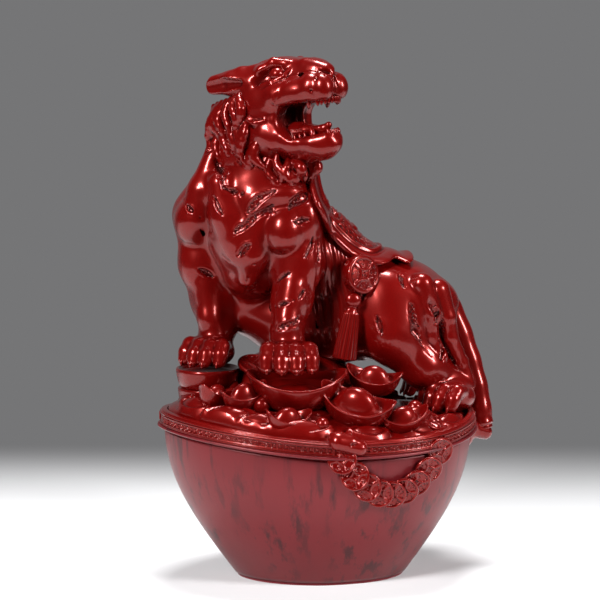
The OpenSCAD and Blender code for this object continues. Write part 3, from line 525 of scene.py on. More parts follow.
class Clay:
    """A block of clay: signed distances in mm on a box grid. Lumps are added with a smooth minimum
    and taken away with a smooth maximum, min(a, b) - (k - |a - b|)^2 / 4k, blending over k."""

    def __init__(self, low, high, cell):
        self.low, self.cell = np.array(low, float), cell
        self.count = np.ceil((np.array(high, float) - self.low) / cell).astype(int) + 1
        self.depth = np.full(self.count, 99.0, np.float32)
        self.lines = [(self.low[c] + cell * np.arange(self.count[c])).astype(np.float32) for c in range(3)]

    def blend(self, shape, low, high, k, cut):
        """Blends a distance function into the part of the grid between low and high."""
        reach = k + 2 * self.cell
        first = np.clip(np.floor((low - reach - self.low) / self.cell).astype(int), 0, self.count - 1)
        last = np.clip(np.ceil((high + reach - self.low) / self.cell).astype(int) + 1, first + 1,
                       self.count)
        part = tuple(slice(a, b) for a, b in zip(first, last))
        x, y, z = (self.lines[c][part[c]] for c in range(3))
        new, old = shape(x[:, None, None], y[None, :, None], z[None, None, :]), self.depth[part]
        if cut:
            new = -new
        soft = np.maximum(k - np.abs(old - new), 0) ** 2 / (4 * k)
        self.depth[part] = np.maximum(old, new) + soft if cut else np.minimum(old, new) - soft

    def strand(self, path, k=2.0, cut=False):
        """A rope through rows of x, y, z, radius: round cones from each row to the next."""
        path = np.array(path, float)
        for a, b in zip(path[:-1], path[1:]):
            run, reach = b[:3] - a[:3], max(a[3], b[3])

            def cone(x, y, z):
                t = ((x - a[0]) * run[0] + (y - a[1]) * run[1] + (z - a[2]) * run[2]) / max(run @ run, 1e-9)
                t = np.clip(t, 0, 1)
                gap = sum((v - p - t * w) ** 2 for v, p, w in zip((x, y, z), a, run))
                return np.sqrt(gap) - a[3] - t * (b[3] - a[3])

            self.blend(cone, np.minimum(a[:3], b[:3]) - reach, np.maximum(a[:3], b[:3]) + reach, k, cut)

    def lump(self, place, radii, k=2.0, axes=None, cut=False):
        """An ellipsoid with radii along its axes: distance is s (s - 1) / |gradient|, s its scale."""
        place, radii = np.array(place, float), np.array(radii, float)
        axes = np.eye(3) if axes is None else np.array(axes, float)

        def egg(x, y, z):
            local = [(x - place[0]) * a[0] + (y - place[1]) * a[1] + (z - place[2]) * a[2] for a in axes]
            s = np.sqrt(sum((v / r) ** 2 for v, r in zip(local, radii)))
            g = np.sqrt(sum((v / r ** 2) ** 2 for v, r in zip(local, radii)))
            return s * (s - 1) / np.maximum(g, 1e-6)

        self.blend(egg, place - radii.max(), place + radii.max(), k, cut)

    def clear_sides(self):
        """Empties the outermost layer of the grid, so that the skin closes inside it."""
        self.depth[[0, -1]], self.depth[:, [0, -1]], self.depth[:, :, [0, -1]] = 9, 9, 9

    def skin(self, rounds):
        """The surface where the distance is nought: one point in each crossed cell, at the mean of
        its edges' crossings, and one quad round each crossed edge; then eased a number of rounds."""
        d, (nx, ny, nz) = self.depth, self.count
        solid = d < 0
        corners = [(a, b, c) for c in (0, 1) for b in (0, 1) for a in (0, 1)]
        full = sum(solid[a:nx - 1 + a, b:ny - 1 + b, c:nz - 1 + c].astype(np.int8) for a, b, c in corners)
        cells = np.argwhere((full > 0) & (full < 8))
        number = np.full(full.shape, -1, np.int32)
        number[tuple(cells.T)] = np.arange(len(cells))
        value = [d[cells[:, 0] + a, cells[:, 1] + b, cells[:, 2] + c] for a, b, c in corners]
        total, crossed = np.zeros((len(cells), 3)), np.zeros(len(cells))
        for p in range(8):
            for q in (p ^ 1, p ^ 2, p ^ 4):
                if q > p:
                    cross = (value[p] < 0) != (value[q] < 0)
                    share = np.where(cross, value[p] / np.where(cross, value[p] - value[q], 1), 0)[:, None]
                    spot = np.array(corners[p]) + (np.array(corners[q]) - np.array(corners[p])) * share
                    total += np.where(cross[:, None], spot, 0)
                    crossed += cross
        points = (cells + total / crossed[:, None]) * self.cell + self.low
        quads = []
        for c, (u, v) in enumerate([(1, 2), (2, 0), (0, 1)]):
            near = np.take(solid, range(self.count[c] - 1), c)
            far = np.take(solid, range(1, self.count[c]), c)
            edge = np.argwhere(near != far)
            edge = edge[((edge[:, [u, v]] > 0) & (edge[:, [u, v]] < self.count[[u, v]] - 1)).all(1)]
            ring = []
            for du, dv in ((1, 1), (0, 1), (0, 0), (1, 0)):
                cell = edge.copy()
                cell[:, u] -= du
                cell[:, v] -= dv
                ring.append(number[tuple(cell.T)])
            ring = np.stack(ring, 1)
            turned = ~near[tuple(edge.T)]
            ring[turned] = ring[turned][:, ::-1]
            quads.append(ring)
        quads = np.concatenate(quads)
        quads = quads[(quads >= 0).all(1)]
        return eased(points, quads, rounds), quads


SHOULDER_L = [(-10.5, -4, 138, 10.5), (-9.5, -5, 120, 9.0), (-12.5, -8, 106, 7.2), (-15, -10.5, 94, 5.8)]
SHOULDER_R = [(-42, 18, 136, 10.5), (-41.5, 18, 118, 9.2), (-38.5, 17, 104, 7.8), (-37, 14, 93, 6.4)]
HAUNCH_L = [(34, 3, 102, 14.5), (28, -1, 92, 12), (40, -3, 79, 8.4), (53, -2, 71, 5.6), (54, -5, 66, 5.2)]
HAUNCH_R = [(38, 23, 100, 13), (30, 27, 90, 11), (42, 27, 79, 8.2), (54, 25, 70, 5.5), (53, 25, 65, 5)]
SPINE = [(-16, 12, 152, 12), (-12, 14, 136, 13.5), (0.5, 13, 121, 15.5), (19, 12.5, 107, 15.5),
         (37, 12.5, 101.5, 15.5), (48, 13, 100, 10)]
BREAST = [(-18, 9, 160, 13), (-22, 8, 146, 16.5), (-25, 7, 131, 16), (-24, 9, 118, 12.5)]

clay = Clay((-62, -34, 54), (72, 48, 176), CLAY_CELL)
for path in (BREAST, SPINE):
    clay.strand(path, 6)
clay.strand([(-22, 20, 101, 12.5), (-8, 15, 95.5, 13), (8, 12, 93, 13), (22, 11, 94, 13),
             (36, 13, 97, 11)], 6)
clay.strand([(-42.5, 17, 137, 10.5), (-31, 14, 157, 10)], 6)
clay.strand([(-9, -2, 139, 10), (-14, 5, 157, 11)], 6)
for path in (SHOULDER_L, SHOULDER_R, HAUNCH_L, HAUNCH_R):
    clay.strand(path, 4)
# shoulders: a round knob in front, the blade behind it, the elbow
clay.lump((-15.5, -10, 133), (7.8, 7.5, 9), 1.6)
clay.lump((-7.5, -9.5, 137), (5.5, 6, 8.5), 1.6)
clay.lump((-15, -8, 147), (8, 6.5, 5), 2.5)
clay.lump((-8, -9.5, 121), (5, 5, 8), 2.5)
clay.lump((-46, 11, 135), (8, 7, 9), 2)
clay.lump((-44, 15, 119), (6.5, 6, 9), 3)
clay.strand([(-39, 8, 160, 4), (-43.5, 7, 147, 5.5), (-46, 8, 137, 6)], 3)
# breast: two broad halves that meet in a keel above the belly
clay.lump((-22, -5, 145), (9, 6, 6), 4)
clay.strand([(-38, 0, 150, 5), (-36, -1, 138, 6), (-31, -3, 124, 5)], 3)
clay.strand([(-24, -5, 138, 6), (-27, -5, 124, 5), (-28.5, -2, 114, 3)], 3)
# forelegs: forearm muscle and wrist
clay.strand([(-13, -12, 112, 4.2), (-15.5, -14, 100, 3.8), (-15.5, -14, 92, 3.4)], 3)
clay.strand([(-42, 12, 110, 4.5), (-41, 10, 98, 4), (-39, 9, 91, 3.6)], 3)
# haunches: the flank runs into the domed thigh, with long muscles behind it
clay.lump((17, 3, 102), (14, 10, 17), 5)
clay.lump((26, -3, 100), (10, 8.5, 16), 4)
clay.lump((34, 30, 100), (12, 8, 13), 4)
clay.lump((47.5, 2, 86), (6.5, 5, 12), 3)
clay.lump((49, 27, 84), (6, 5, 11), 3)
clay.lump((-2, 18, 91), (19, 9, 9), 5)
clay.lump((-15, 19, 94), (10, 8, 9), 2)
for side, y in ((-1, -7), (1, 33)):
    clay.strand([(38, y, 111, 4.6), (41.5, y + side, 100, 3.6), (42, y, 91, 3), (46, y, 83, 2.6)], 1.0)
    clay.strand([(45, y + 3, 108, 4.8), (48.5, y + 2, 98, 3.6), (50, y + 2, 90, 3), (55, y + 3, 80, 2.4),
                 (58, y + 3, 71, 2.4)], 1.0)
# creases: behind the left shoulder, before its knob, and along the thigh
clay.strand([(-3, -15, 148, 0.6), (-2.5, -16, 134, 1.2), (-3, -16, 120, 1.4), (-6, -15, 108, 1.2)], 2,
            cut=True)
clay.strand([(-18, -17.5, 142, 0.4), (-23, -15, 138, 0.9), (-24.5, -13, 130, 0.7), (-22, -14, 123, 0.3)],
            1.5, cut=True)
clay.strand([(31, -12.5, 109, 0.3), (33.5, -12.5, 103, 1.5), (34.5, -12, 94, 1.7), (41, -11.5, 84.5, 0.5)],
            1.0, cut=True)
clay.strand([(40, -12, 109, 0.3), (41, -11.5, 104, 1.3), (45, -9, 95, 1.3), (46, -8, 86, 1.0),
             (44, -10, 79, 0.3)], 1.0,
            cut=True)


def paw(place, heading, size, spread=1.0):
    """A paw: a low pad and four toes fanned about the heading, each two knuckles and a blunt end.
    Returns the tips of the toes, where the claws are set."""
    turn = math.radians(heading)
    ahead = np.array([math.cos(turn), math.sin(turn), 0])
    aside = np.array([-math.sin(turn), math.cos(turn), 0])
    place = np.array(place, float)
    clay.lump(place + [0, 0, 4.6 * size], np.array([7.4, 7.8, 5.2]) * size, 2.5, (ahead, aside, (0, 0, 1)))
    tips = []
    for toe in (-1.5, -0.5, 0.5, 1.5):
        lead = 1 - 0.10 * toe * toe
        row = [(2.0, 3.6, 7.2, 2.5), (5.6, 4.1, 7.4, 2.55), (8.4, 4.4, 5.0, 2.5), (9.6, 4.5, 2.6, 2.2)]
        path = []
        for f, s, u, r in row:
            spot = place + (ahead * f * lead + aside * toe * s * spread + np.array([0, 0, u])) * size
            path.append((*spot, r * size))
        clay.strand(path, 0.9)
        tips.append((np.array(path[-1][:3]) + ahead * 1.6 * size, ahead))
    return tips


claw_roots = []
clay.strand([(-15, -10.5, 94, 5.8), (-15, -12.5, 88, 6.8)], 3)
clay.strand([(-37, 14, 93, 6.4), (-39.5, 10.5, 87, 6.6)], 3)
claw_roots += paw((-15, -14, 80.0), -100, 1.24)
claw_roots += paw((-40.2, 8.0, 80.2), -128, 1.12)
claw_roots += paw((50.5, -8, 62.5), -152, 1.12, 1.05)
claw_roots += paw((50.5, 24, 62.5), 158, 1.05, 1.05)

body_clay = clay
body_points, body_quads = clay.skin(2)
body_normals = outward(body_points, body_quads)


def beside(points, normals, path):
    """Nearest spot on a path of x, y, z rows, for each point: its distance within the tangent
    plane, |v - (v.n) n| with a large distance along the normal added, and its share of the run."""
    path = np.array(path, float)[:, :3]
    best, where = np.full(len(points), 1e9), np.zeros(len(points))
    sizes = np.linalg.norm(np.diff(path, axis=0), axis=1)
    for i, (a, b) in enumerate(zip(path[:-1], path[1:])):
        t = np.clip((points - a) @ (b - a) / sizes[i] ** 2, 0, 1)
        v = points - a - t[:, None] * (b - a)
        rise = (v * normals).sum(1)
        gap = np.sqrt(np.maximum((v * v).sum(1) - rise ** 2, 0) + 4 * np.maximum(np.abs(rise) - 4, 0) ** 2)
        closer = gap < best
        best[closer], where[closer] = gap[closer], (sizes[:i].sum() + t[closer] * sizes[i]) / sizes.sum()
    return best, where


def groove(points, normals, path, width, depth):
    """How far a groove sinks each point: depth (1 - q^2)^2 at q half-widths from the path, with
    the width tapering to both ends by the root of the sine."""
    gap, t = beside(points, normals, path)
    q = gap / (width * np.sqrt(np.maximum(np.sin(np.pi * (0.08 + 0.84 * t)), 0.05)))
    return depth * np.maximum(1 - q * q, 0) ** 2


def leaf(points, normals, path, width, depth):
    """A leaf-shaped recess with a raised rim: sinks by depth (1 - q^6) inside and rises by a
    narrow bell at q = 1.2; q counts half-widths, which follow the sine of the run. Returns the
    sinking and the stippled share."""
    gap, t = beside(points, normals, path)
    q = gap / (width * np.sin(np.pi * (0.06 + 0.88 * t)) ** 0.8)
    return (depth * np.maximum(1 - q ** 6, 0) - 0.45 * depth * np.exp(-((q - 1.22) / 0.2) ** 2),
            np.clip((1 - q) * 5, 0, 1))


STRIPES = [
    # breast, from the collar down
    ([(-31.5, -12, 140), (-26, -13, 145), (-20, -13.5, 148.5)], 1.9),
    ([(-36, -12, 132), (-29, -13, 138), (-21, -14, 142)], 1.7),
    ([(-35.5, -10, 122), (-31, -12, 127), (-27.5, -15.5, 129.5)], 1.4),
    # right shoulder, seen from the front
    ([(-48.5, 8, 143), (-45.5, 4, 137)], 1.1), ([(-43.5, -5.5, 146), (-39, -8, 139.5)], 1.2),
    ([(-49.5, 13, 153), (-49, 11, 144)], 0.9),
    ([(-45, 8, 117), (-39.5, 7, 114)], 1.3),
    # left shoulder and foreleg
    ([(-15, -15.5, 142.5), (-10, -14.5, 145.5), (-5, -12.5, 148)], 1.9),
    ([(-13, -17.5, 137), (-7.5, -17, 137.5)], 1.6),
    ([(-9, -15, 123), (-7, -15, 126), (-4.5, -14.5, 130)], 1.0),
    ([(-2, -14.5, 121.5), (-0.5, -13, 130)], 1.1),
    ([(-18, -10, 113.5), (-14, -13, 117.5)], 1.0), ([(-18, -12.5, 104.5), (-13.5, -17, 107.5)], 1.0),
    ([(-19, -13, 96), (-15, -16, 99), (-10, -18, 101.5)], 1.2),
    ([(-11.5, -17.4, 108), (-8, -16.8, 111.5)], 0.9),
    # flank and thigh
    ([(19, -5, 116), (17.5, -5.6, 110.5), (14, -3, 102.5)], 1.3), ([(20, -10, 99.5), (21.5, -12, 93)], 1.3),
    ([(30, -6.5, 116.5), (30.5, -11, 111)], 1.2), ([(44.5, -10.5, 101.5), (42, -10, 96.5)], 1.0)]
sunk, dotted = np.zeros(len(body_points)), np.zeros(len(body_points))
for path, width in STRIPES:
    for mirrored in (False, True):
        line = np.array(path, float)
        if mirrored:
            # the far side carries the same stripes, turned over the back's middle line
            middle = np.interp(line[:, 2], [90, 160], [12.5, 9.0])
            line[:, 1] = 2 * middle - line[:, 1] if line[:, 0].mean() > -12 else np.nan
        if not np.isnan(line).any():
            low, dots = leaf(body_points, body_normals, line, width, 0.75)
            sunk += low
            dotted = np.maximum(dotted, dots)
CREASES = [  # path, half width, depth
    ([(-41, -3, 122), (-35, -9, 117), (-30, -8, 111), (-27, -12, 119)], 0.9, 0.5),
    ([(-39, 10.5, 162), (-38, 1.2, 156), (-37.5, -8, 149.5), (-33, -10, 147)], 2.2, 1.3),
    ([(33, -12.6, 104), (33.5, -13, 97), (37.5, -11, 88)], 1.6, 0.2),
    ([(42, -11, 104), (45, -9, 95), (45.5, -9, 87)], 1.5, 0.2)]
for path, width, depth in CREASES:
    low = groove(body_points, body_normals, path, width, depth)
    sunk += low
    if width > 1:
        dotted = np.maximum(dotted, np.clip(low / depth * 2, 0, 1))
# fur combed down the flank: fine upright waves between the foreleg and the tassel
x, y, z = body_points.T
flank = np.exp(-((x - 4) / 9) ** 2 - ((z - 112) / 16) ** 2) * (body_normals[:, 1] < 0)
sunk += flank * 0.28 * np.sin(2.3 * x + 0.9 * np.sin(0.35 * z) + 0.25 * z)
body_points = body_points - body_normals * sunk[:, None]


def line_distance(points, path):
    """Distance of points from a path of rows x, y, z, radius, less the path's radius there."""
    path, best = np.array(path, float), np.full(len(points), 1e9)
    for a, b in zip(path[:-1], path[1:]):
        run = b[:3] - a[:3]
        t = np.clip((points - a[:3]) @ run / max(run @ run, 1e-9), 0, 1)
        gap = np.linalg.norm(points - a[:3] - t[:, None] * run, axis=1) - a[3] - t * (b[3] - a[3])
        best = np.minimum(best, gap)
    return best


SHOULDER_TOP, WRIST_HEIGHT, HOCK_HEIGHT, KNEE_HEIGHT = 134, 90, 72.5, 98
CORE = np.array([(-24, 9, 125), (-5, 13, 112), (8, 12.5, 108), (20, 12.5, 104), (40, 12.5, 100)], float)
PARTS = ["torso", "foreleg_left", "foreleg_right", "hindleg_left", "hindleg_right",
         "forepaw_left", "forepaw_right", "hindpaw_left", "hindpaw_right"]


def body_part(points):
    """Number of the part each point belongs to: the nearest limb's, torso first, with the paws
    below the wrists and the hocks."""
    torso = np.minimum(line_distance(points, BREAST), line_distance(points, SPINE))
    away = [torso] + [line_distance(points, path) for path in (SHOULDER_L, SHOULDER_R, HAUNCH_L, HAUNCH_R)]
    part = np.argmin(np.array(away), 0)
    z = points[:, 2]
    part[(part > 0) & (part < 3) & (z > SHOULDER_TOP)] = 0
    for limb, wrist in ((1, WRIST_HEIGHT), (2, WRIST_HEIGHT), (3, HOCK_HEIGHT), (4, HOCK_HEIGHT)):
        part[(part == limb) & (z < wrist)] = limb + 4
    return part


def settle_labels(quads, label, count, kinds, rounds=30):
    """Labels smoothed so that no small island is left: each quad takes the label with most votes
    among the quads that touch its four points, a number of rounds."""
    for _ in range(rounds):
        votes = np.stack([np.bincount(quads.ravel(), np.repeat(label == k, 4),
                                      count) for k in range(kinds)], -1)
        label = votes[quads].sum(1).argmax(1)
    return label


def parted(points, quads, label, names):
    """Splits a closed skin by its quads' labels. Each part keeps the shared points of the seam, and
    each of its open loops is closed by a fan of triangles from the loop's middle. Above the knees that
    middle is drawn halfway to the nearest point of the core line, so that the fan stays inside."""
    for index, name in enumerate(names):
        mine = quads[label == index]
        used, compact = np.unique(mine, return_inverse=True)
        mine, spots = compact.reshape(mine.shape), points[used]
        edges = neighbours(mine)
        key = np.sort(edges, 1)
        _, first, copies = np.unique(key, axis=0, return_index=True, return_counts=True)
        open_edges = edges[first[copies == 1]]
        group = np.arange(len(spots))
        for _ in range(400):
            low = np.minimum(group[open_edges[:, 0]], group[open_edges[:, 1]])
            before = group.copy()
            np.minimum.at(group, open_edges[:, 0], low)
            np.minimum.at(group, open_edges[:, 1], low)
            group = group[group]
            if (group == before).all():
                break
        loops, member = np.unique(group[open_edges[:, 0]], return_inverse=True)
        middle = [spots[np.unique(open_edges[member == k])].mean(0) for k in range(len(loops))]
        middle = [m if m[2] < KNEE_HEIGHT
                  else 0.5 * m + 0.5 * CORE[np.linalg.norm(CORE - m, axis=1).argmin()] for m in middle]
        fans = triangles(open_edges[:, 1], open_edges[:, 0], len(spots) + member)
        filled = np.concatenate([spots, np.array(middle).reshape(-1, 3)])
        yield name, filled, np.concatenate([mine, fans]), used


def cast_parts(names, points, quads, label, wash_and_shade, dots, normals):
    """Casts the parts of a skin, each with its share of the wash_and_shade (painted shade in the hollows), of
    the stipple and of the whole skin's normals. The middles of the closing fans have no wash_and_shade and no
    stipple."""
    for name, spots, faces, used in parted(points, quads, label, names):
        pad = np.zeros(len(spots) - len(used))
        make_piece(name, spots, faces, lacquer, [name], wash_and_shade=np.append(wash_and_shade[used], pad),
                   stipple=np.append(dots[used], pad),
                   normals=np.concatenate([normals[used], np.tile((0, 0, 1.0), (len(pad), 1))]))


# painted shade: the body's hollows get darkness that stands mostly for shade, partly for an antiquing wash
body_wash_and_shade = hollowness(body_points, body_quads, 10)
skin_normals = outward(body_points, body_quads)
body_label = settle_labels(body_quads, body_part(body_points[body_quads].mean(1)), len(body_points),
                           len(PARTS))
cast_parts(PARTS, body_points, body_quads, body_label, body_wash_and_shade, dotted, skin_normals)


# ---------------------------------------------------------------- tiger: head and lower jaw
# The head is thrown up and turned to the side, with the mouth wide open. It is modelled in its own
# frame (forward, left, up), cast with the neck, and parted from the jaw along the mouth corner.

HEAD_PLACE, HEAD_YAW, HEAD_PITCH = np.array([-19.5, 4, 180.5]), math.radians(-52), math.radians(15)
head_ahead = np.array([math.cos(HEAD_YAW) * math.cos(HEAD_PITCH), math.sin(HEAD_YAW) * math.cos(HEAD_PITCH),
                       math.sin(HEAD_PITCH)])
head_left = np.array([-math.sin(HEAD_YAW), math.cos(HEAD_YAW), 0])
HEAD_AXES = np.stack([head_ahead, head_left, np.cross(head_ahead, head_left)])


def from_head(points):
    """Points of the head's own frame (forward, left, up) in the tiger's frame."""
    return np.asarray(points, float) @ HEAD_AXES + HEAD_PLACE


def both(path, side):
    """A path's rows with the left coordinate turned to one side."""
    path = np.array(path, float)
    path[:, 1] *= side
    return path


clay = Clay((-26, -22, -34), (39, 22, 20), 0.38)
clay.lump((1, 0, 1), (13.5, 13, 13), 3)
clay.strand([(-2, 0, -4, 13), (-12, 0, -16, 13.5), (-18, 0, -26, 13)], 5)
clay.strand([(6, 0, 6.5, 8), (13, 0, 5.5, 7.6), (20, 0, 4.6, 6.1), (26, 0, 4.2, 5.2), (30, 0, 3.4, 4.0)], 3)
clay.strand([(9, 0, 0, 9), (22, 0, -0.5, 6), (30, 0, -1, 4.5)], 3)
clay.lump((2, 0, -13), (12, 10.5, 11), 4)
clay.strand([(4, 0, -16, 8.5), (14, 0, -20.5, 5.6), (23, 0, -22.2, 4.0), (27, 0, -21, 2.8)], 4)
for side in (-1, 1):
    clay.strand(both([(13, 8, -0.5, 5.4), (20, 6.4, -0.8, 4.8), (26, 5.4, -1.2, 4.6)], side), 2)
    # whisker pads with a rolled lip
    clay.lump((31.0, 4.1 * side, -1.9), (4.5, 4.2, 5.3), 0.9)
    clay.lump((27.2, 5.7 * side, -0.5), (4.2, 3.8, 4.9), 1.2)
    clay.strand(both([(31.5, 1.2, -4.6, 1.7), (29, 5.6, -4.6, 1.8), (24, 7.2, -3.6, 1.7),
                      (17, 8.6, -3.4, 1.6), (11.5, 9.3, -5.2, 1.5)], side), 1.2)
    # cheekbone, jowl and the folds at the corner of the mouth
    clay.lump((5, 8.2 * side, -1.5), (8.5, 5.6, 7.6), 2.5)
    clay.lump((3, 8.4 * side, -12), (8, 4.6, 8), 3)
    clay.strand(both([(-3.5, 13.4, -1, 0.8), (-1.5, 13.7, -5.5, 1.2), (3.5, 13.2, -8.6, 1.2),
                      (7.5, 12, -8.6, 0.6)], side), 0.9)
    clay.strand(both([(12.2, 9.2, -4.5, 1.4), (9.6, 9.4, -9, 1.7), (10.4, 8.7, -14, 1.6),
                      (14.5, 7.4, -17.4, 1.3)], side), 1.0)
    clay.strand(both([(5.5, 11.2, -9, 0.8), (4.6, 11.4, -13.5, 1.2), (7, 10, -18.5, 1.0)], side), 1.2)
    # lower jaw side with its lip
    clay.strand(both([(4, 8.5, -13, 4.5), (13, 5.8, -18.6, 4.0), (21, 4.2, -20.6, 3.0),
                      (27, 2.6, -20, 2.4)], side), 2.5)
    clay.strand(both([(13, 6.8, -17, 1.2), (20, 5.1, -18, 1.1), (26, 3.8, -17.9, 1.1),
                      (29.2, 1.4, -18.4, 1.2)], side), 0.9)
    # bridge ridges, brow and lids
    clay.strand(both([(12, 3.2, 11.2, 2.4), (17, 3.2, 8.6, 2.6), (24, 2.6, 8.2, 1.8), (29, 2.2, 6.2, 1.4)],
                     side), 2)
    clay.strand(both([(4, 9.8, 6.5, 2.2), (8.5, 9.6, 9.8, 1.9), (13.5, 7.6, 11.6, 1.8),
                      (17.5, 5.6, 10.4, 1.6)], side), 1.6)
    clay.lump((12.6, 11.2 * side, 7.0), (5.6, 3.4, 3.0), 1.2,
              ((0.97, -0.2 * side, 0.1), (0.2 * side, 0.97, 0), (-0.1, 0, 1)), cut=True)
    clay.lump((8.4, 12.4 * side, 6.3), (3.6, 2.4, 2.0), 1.0, cut=True)
    clay.strand(both([(8.6, 11.6, 4.0, 0.9), (13, 10.6, 4.2, 1.1), (17.5, 8.2, 5.6, 0.9),
                      (19.4, 6.6, 7.4, 0.6)], side), 0.8)
    clay.strand(both([(19, 5.2, 3.2, 0.4), (24, 5.6, 4.0, 0.8), (28, 4.6, 3.6, 0.4)], side), 1.0, cut=True)
    # ears laid back, hollow towards the side, with a long ridge on top
    clay.strand(both([(6, 7, 10.2, 3.0), (-1, 9.8, 11.0, 2.4), (-12, 13.4, 11.2, 1.7)], side), 2)
    clay.strand(both([(2.5, 9.2, 6.8, 4.4), (-5, 11.8, 8.2, 4.2), (-12.4, 13.6, 9.0, 3.2)], side), 2)
    clay.strand(both([(0.5, 14.4, 7.0, 1.6), (-6, 16.6, 8.2, 2.7), (-15, 18.4, 8.8, 3.0)], side), 0.6,
                cut=True)
clay.lump((22, 0, -23), (8, 5, 3.6), 3)
# nose: a heart-shaped pad, comma nostrils and the groove down to the lip
clay.lump((31, 0, 3.6), (3.0, 3.5, 3.3), 0.8)
clay.strand([(33.8, 0, 1.2, 0.45), (34.6, 0, -2, 0.6), (34, 0, -6, 0.5)], 0.8, cut=True)
for side in (-1, 1):
    clay.strand(both([(33.6, 1.5, 2.6, 0.55), (33.2, 2.7, 3.4, 0.8), (31.4, 3.9, 4.3, 0.35)], side), 0.5,
                cut=True)


def mouth_gap(x, y, z):
    """The open mouth: behind it a curve up the cheek, above it the upper lip line and below it
    the lower one, which falls away at the jaw's angle; the greatest of the three distances."""
    back = 11.6 + 0.085 * (z + 11) ** 2 - x
    above = z + 5.4 + 0.03 * (x - 12) + 1.5 * np.clip((x - 22) / 7, 0, 1)
    below = -17.6 - 0.02 * (x - 14) - z
    return np.maximum(np.maximum(back, above), below * 0.98) + 0 * y


clay.blend(mouth_gap, np.array([8.0, -16, -20]), np.array([39.0, 16, -3]), 1.6, True)
clay.strand([(9, 0, -10.5, 5.4), (16, 0, -12.6, 4.6), (23, 0, -15, 3.6), (27.2, 0, -16.5, 2.6)], 1.2,
            cut=True)
clay.strand([(10, 0, -8, 4.8), (20, 0, -6, 4.2), (29, 0, -5.4, 3.4)], 1.0, cut=True)

head_points, head_quads = clay.skin(2)
head_normals = outward(head_points, head_quads)
FACE_LINES = [  # path, half width, depth
    ([(-3, 15, -3), (1, 14, -7.5), (7, 12.5, -8)], 1.2, 0.35),
    ([(12.5, 9.5, -2), (20, 8.5, 1.5), (26, 7, 3.4)], 1.3, 0.35),
    ([(3.5, 7, 13), (8.5, 4, 13.6), (12, 1.2, 13)], 0.8, 0.3),
    ([(-2, 8.5, 12), (4.5, 3.5, 14.6), (8, 1, 14.5)], 0.8, 0.3)]
sunk = np.zeros(len(head_points))
for side in (-1, 1):
    # whisker pits, in two short rows on each pad
    for spot in ((31.5, 6.9, 1.0), (29, 7.8, 0.2), (31.5, 6.8, -1.6), (29, 8.2, -2.4), (33.4, 4.6, 1.2),
                 (34.0, 4.4, -1.4), (26.4, 8.2, 0.6), (25.6, 8.6, -1.8)):
        gap = np.linalg.norm(head_points - both([spot], side), axis=1)
        sunk += 0.8 * np.maximum(1 - (gap / 1.15) ** 2, 0)
    for path, width, depth in FACE_LINES:
        sunk += groove(head_points, head_normals, both(path, side), width, depth)
head_points = head_points - head_normals * sunk[:, None]
head_wash_and_shade = hollowness(head_points, head_quads, 16) * 1.3
# painted shade: the inside of the mouth and of the ears holds the most wash_and_shade, and the mouth gets an
# extra share of dark on top
f, l, u = head_points.T
mouth_shade = (np.clip((7.5 - np.abs(l)) / 2, 0, 1) * np.clip((f - 4) / 3, 0, 1)
         * np.clip((-4.5 - u) / 2, 0, 1) * (f < 26))
head_wash_and_shade = head_wash_and_shade + 0.35 * mouth_shade * (u > -18)
skin_normals = outward(from_head(head_points), head_quads)
centre = head_points[head_quads].mean(1)
head_label = ((centre[:, 2] < -10.6 - 0.25 * (centre[:, 0] - 8)) & (centre[:, 0] > -1.5)
              & (centre[:, 2] > -40)).astype(int)
cast_parts(["head", "lower_jaw"], from_head(head_points), head_quads, head_label, head_wash_and_shade,
           np.zeros(len(head_points)), skin_normals)


# ---------------------------------------------------------------- tiger: eyes, teeth and tongue
# Smooth eyeballs under the brows, a row of pegs along the upper lip with four long fangs, and a
# tongue lying in the jaw. Each is a small separate casting set into the head.

def capped(rows, columns):
    """Faces of a grid of rings, closed at each end by a fan of triangles. The two middle points of
    the fans follow the grid's own points."""
    k, last, pole = np.arange(columns), (rows - 1) * columns, rows * columns
    after = (k + 1) % columns
    return np.concatenate([grid_faces(rows, columns, False, True), triangles(pole, k, after),
                           triangles(pole + 1, last + after, last + k)])


def ball(place, radii, axes, rows=20, columns=28):
    """An ellipsoid: sine and cosine of two angles times the radii, turned to the axes; each pole is
    one point with a ring of triangles."""
    a = np.linspace(0, np.pi, rows + 1)[1:-1, None]
    b = np.linspace(0, 2 * np.pi, columns, endpoint=False)[None, :]
    unit = np.stack(np.broadcast_arrays(np.sin(a) * np.cos(b), np.sin(a) * np.sin(b), np.cos(a)), -1)
    unit = np.concatenate([unit.reshape(-1, 3), [(0, 0, 1), (0, 0, -1)]])
    return facing_out((unit * radii) @ np.asarray(axes, float) + place, capped(rows - 1, columns))


def peg(root, tip, radius, bend, rows=9, columns=12):
    """A tooth: circles along a quadratic curve from root to tip, shrinking as the root of what is
    left of the run; both ends close in one point."""
    root, tip, bend = (np.array(v, float) for v in (root, tip, bend))
    t = np.linspace(0, 1, rows)[:, None]
    line = root * (1 - t) ** 2 + (root + tip + bend) * t * (1 - t) + tip * t ** 2
    way = (tip - root) / np.linalg.norm(tip - root)
    across = np.cross(way, (0.3, 0.8, 0.5))
    across /= np.linalg.norm(across)
    over = np.cross(way, across)
    turn = np.linspace(0, 2 * np.pi, columns, endpoint=False)
    ring = np.cos(turn)[:, None] * across + np.sin(turn)[:, None] * over
    size = radius * np.sqrt(1 - t[:-1, :, None] ** 2 * 0.97)
    body = (line[:-1, None] + ring[None] * size).reshape(-1, 3)
    points = np.concatenate([body, [line[0], line[-1]]])
    return points, facing_out(points - root, capped(rows - 1, columns))[1]


for name, side in (("eye_left", 1), ("eye_right", -1)):
    points, faces = ball(from_head((14.2, 8.0 * side, 7.0)), (2.9, 2.7, 2.6), HEAD_AXES)
    cast(name, points, faces)

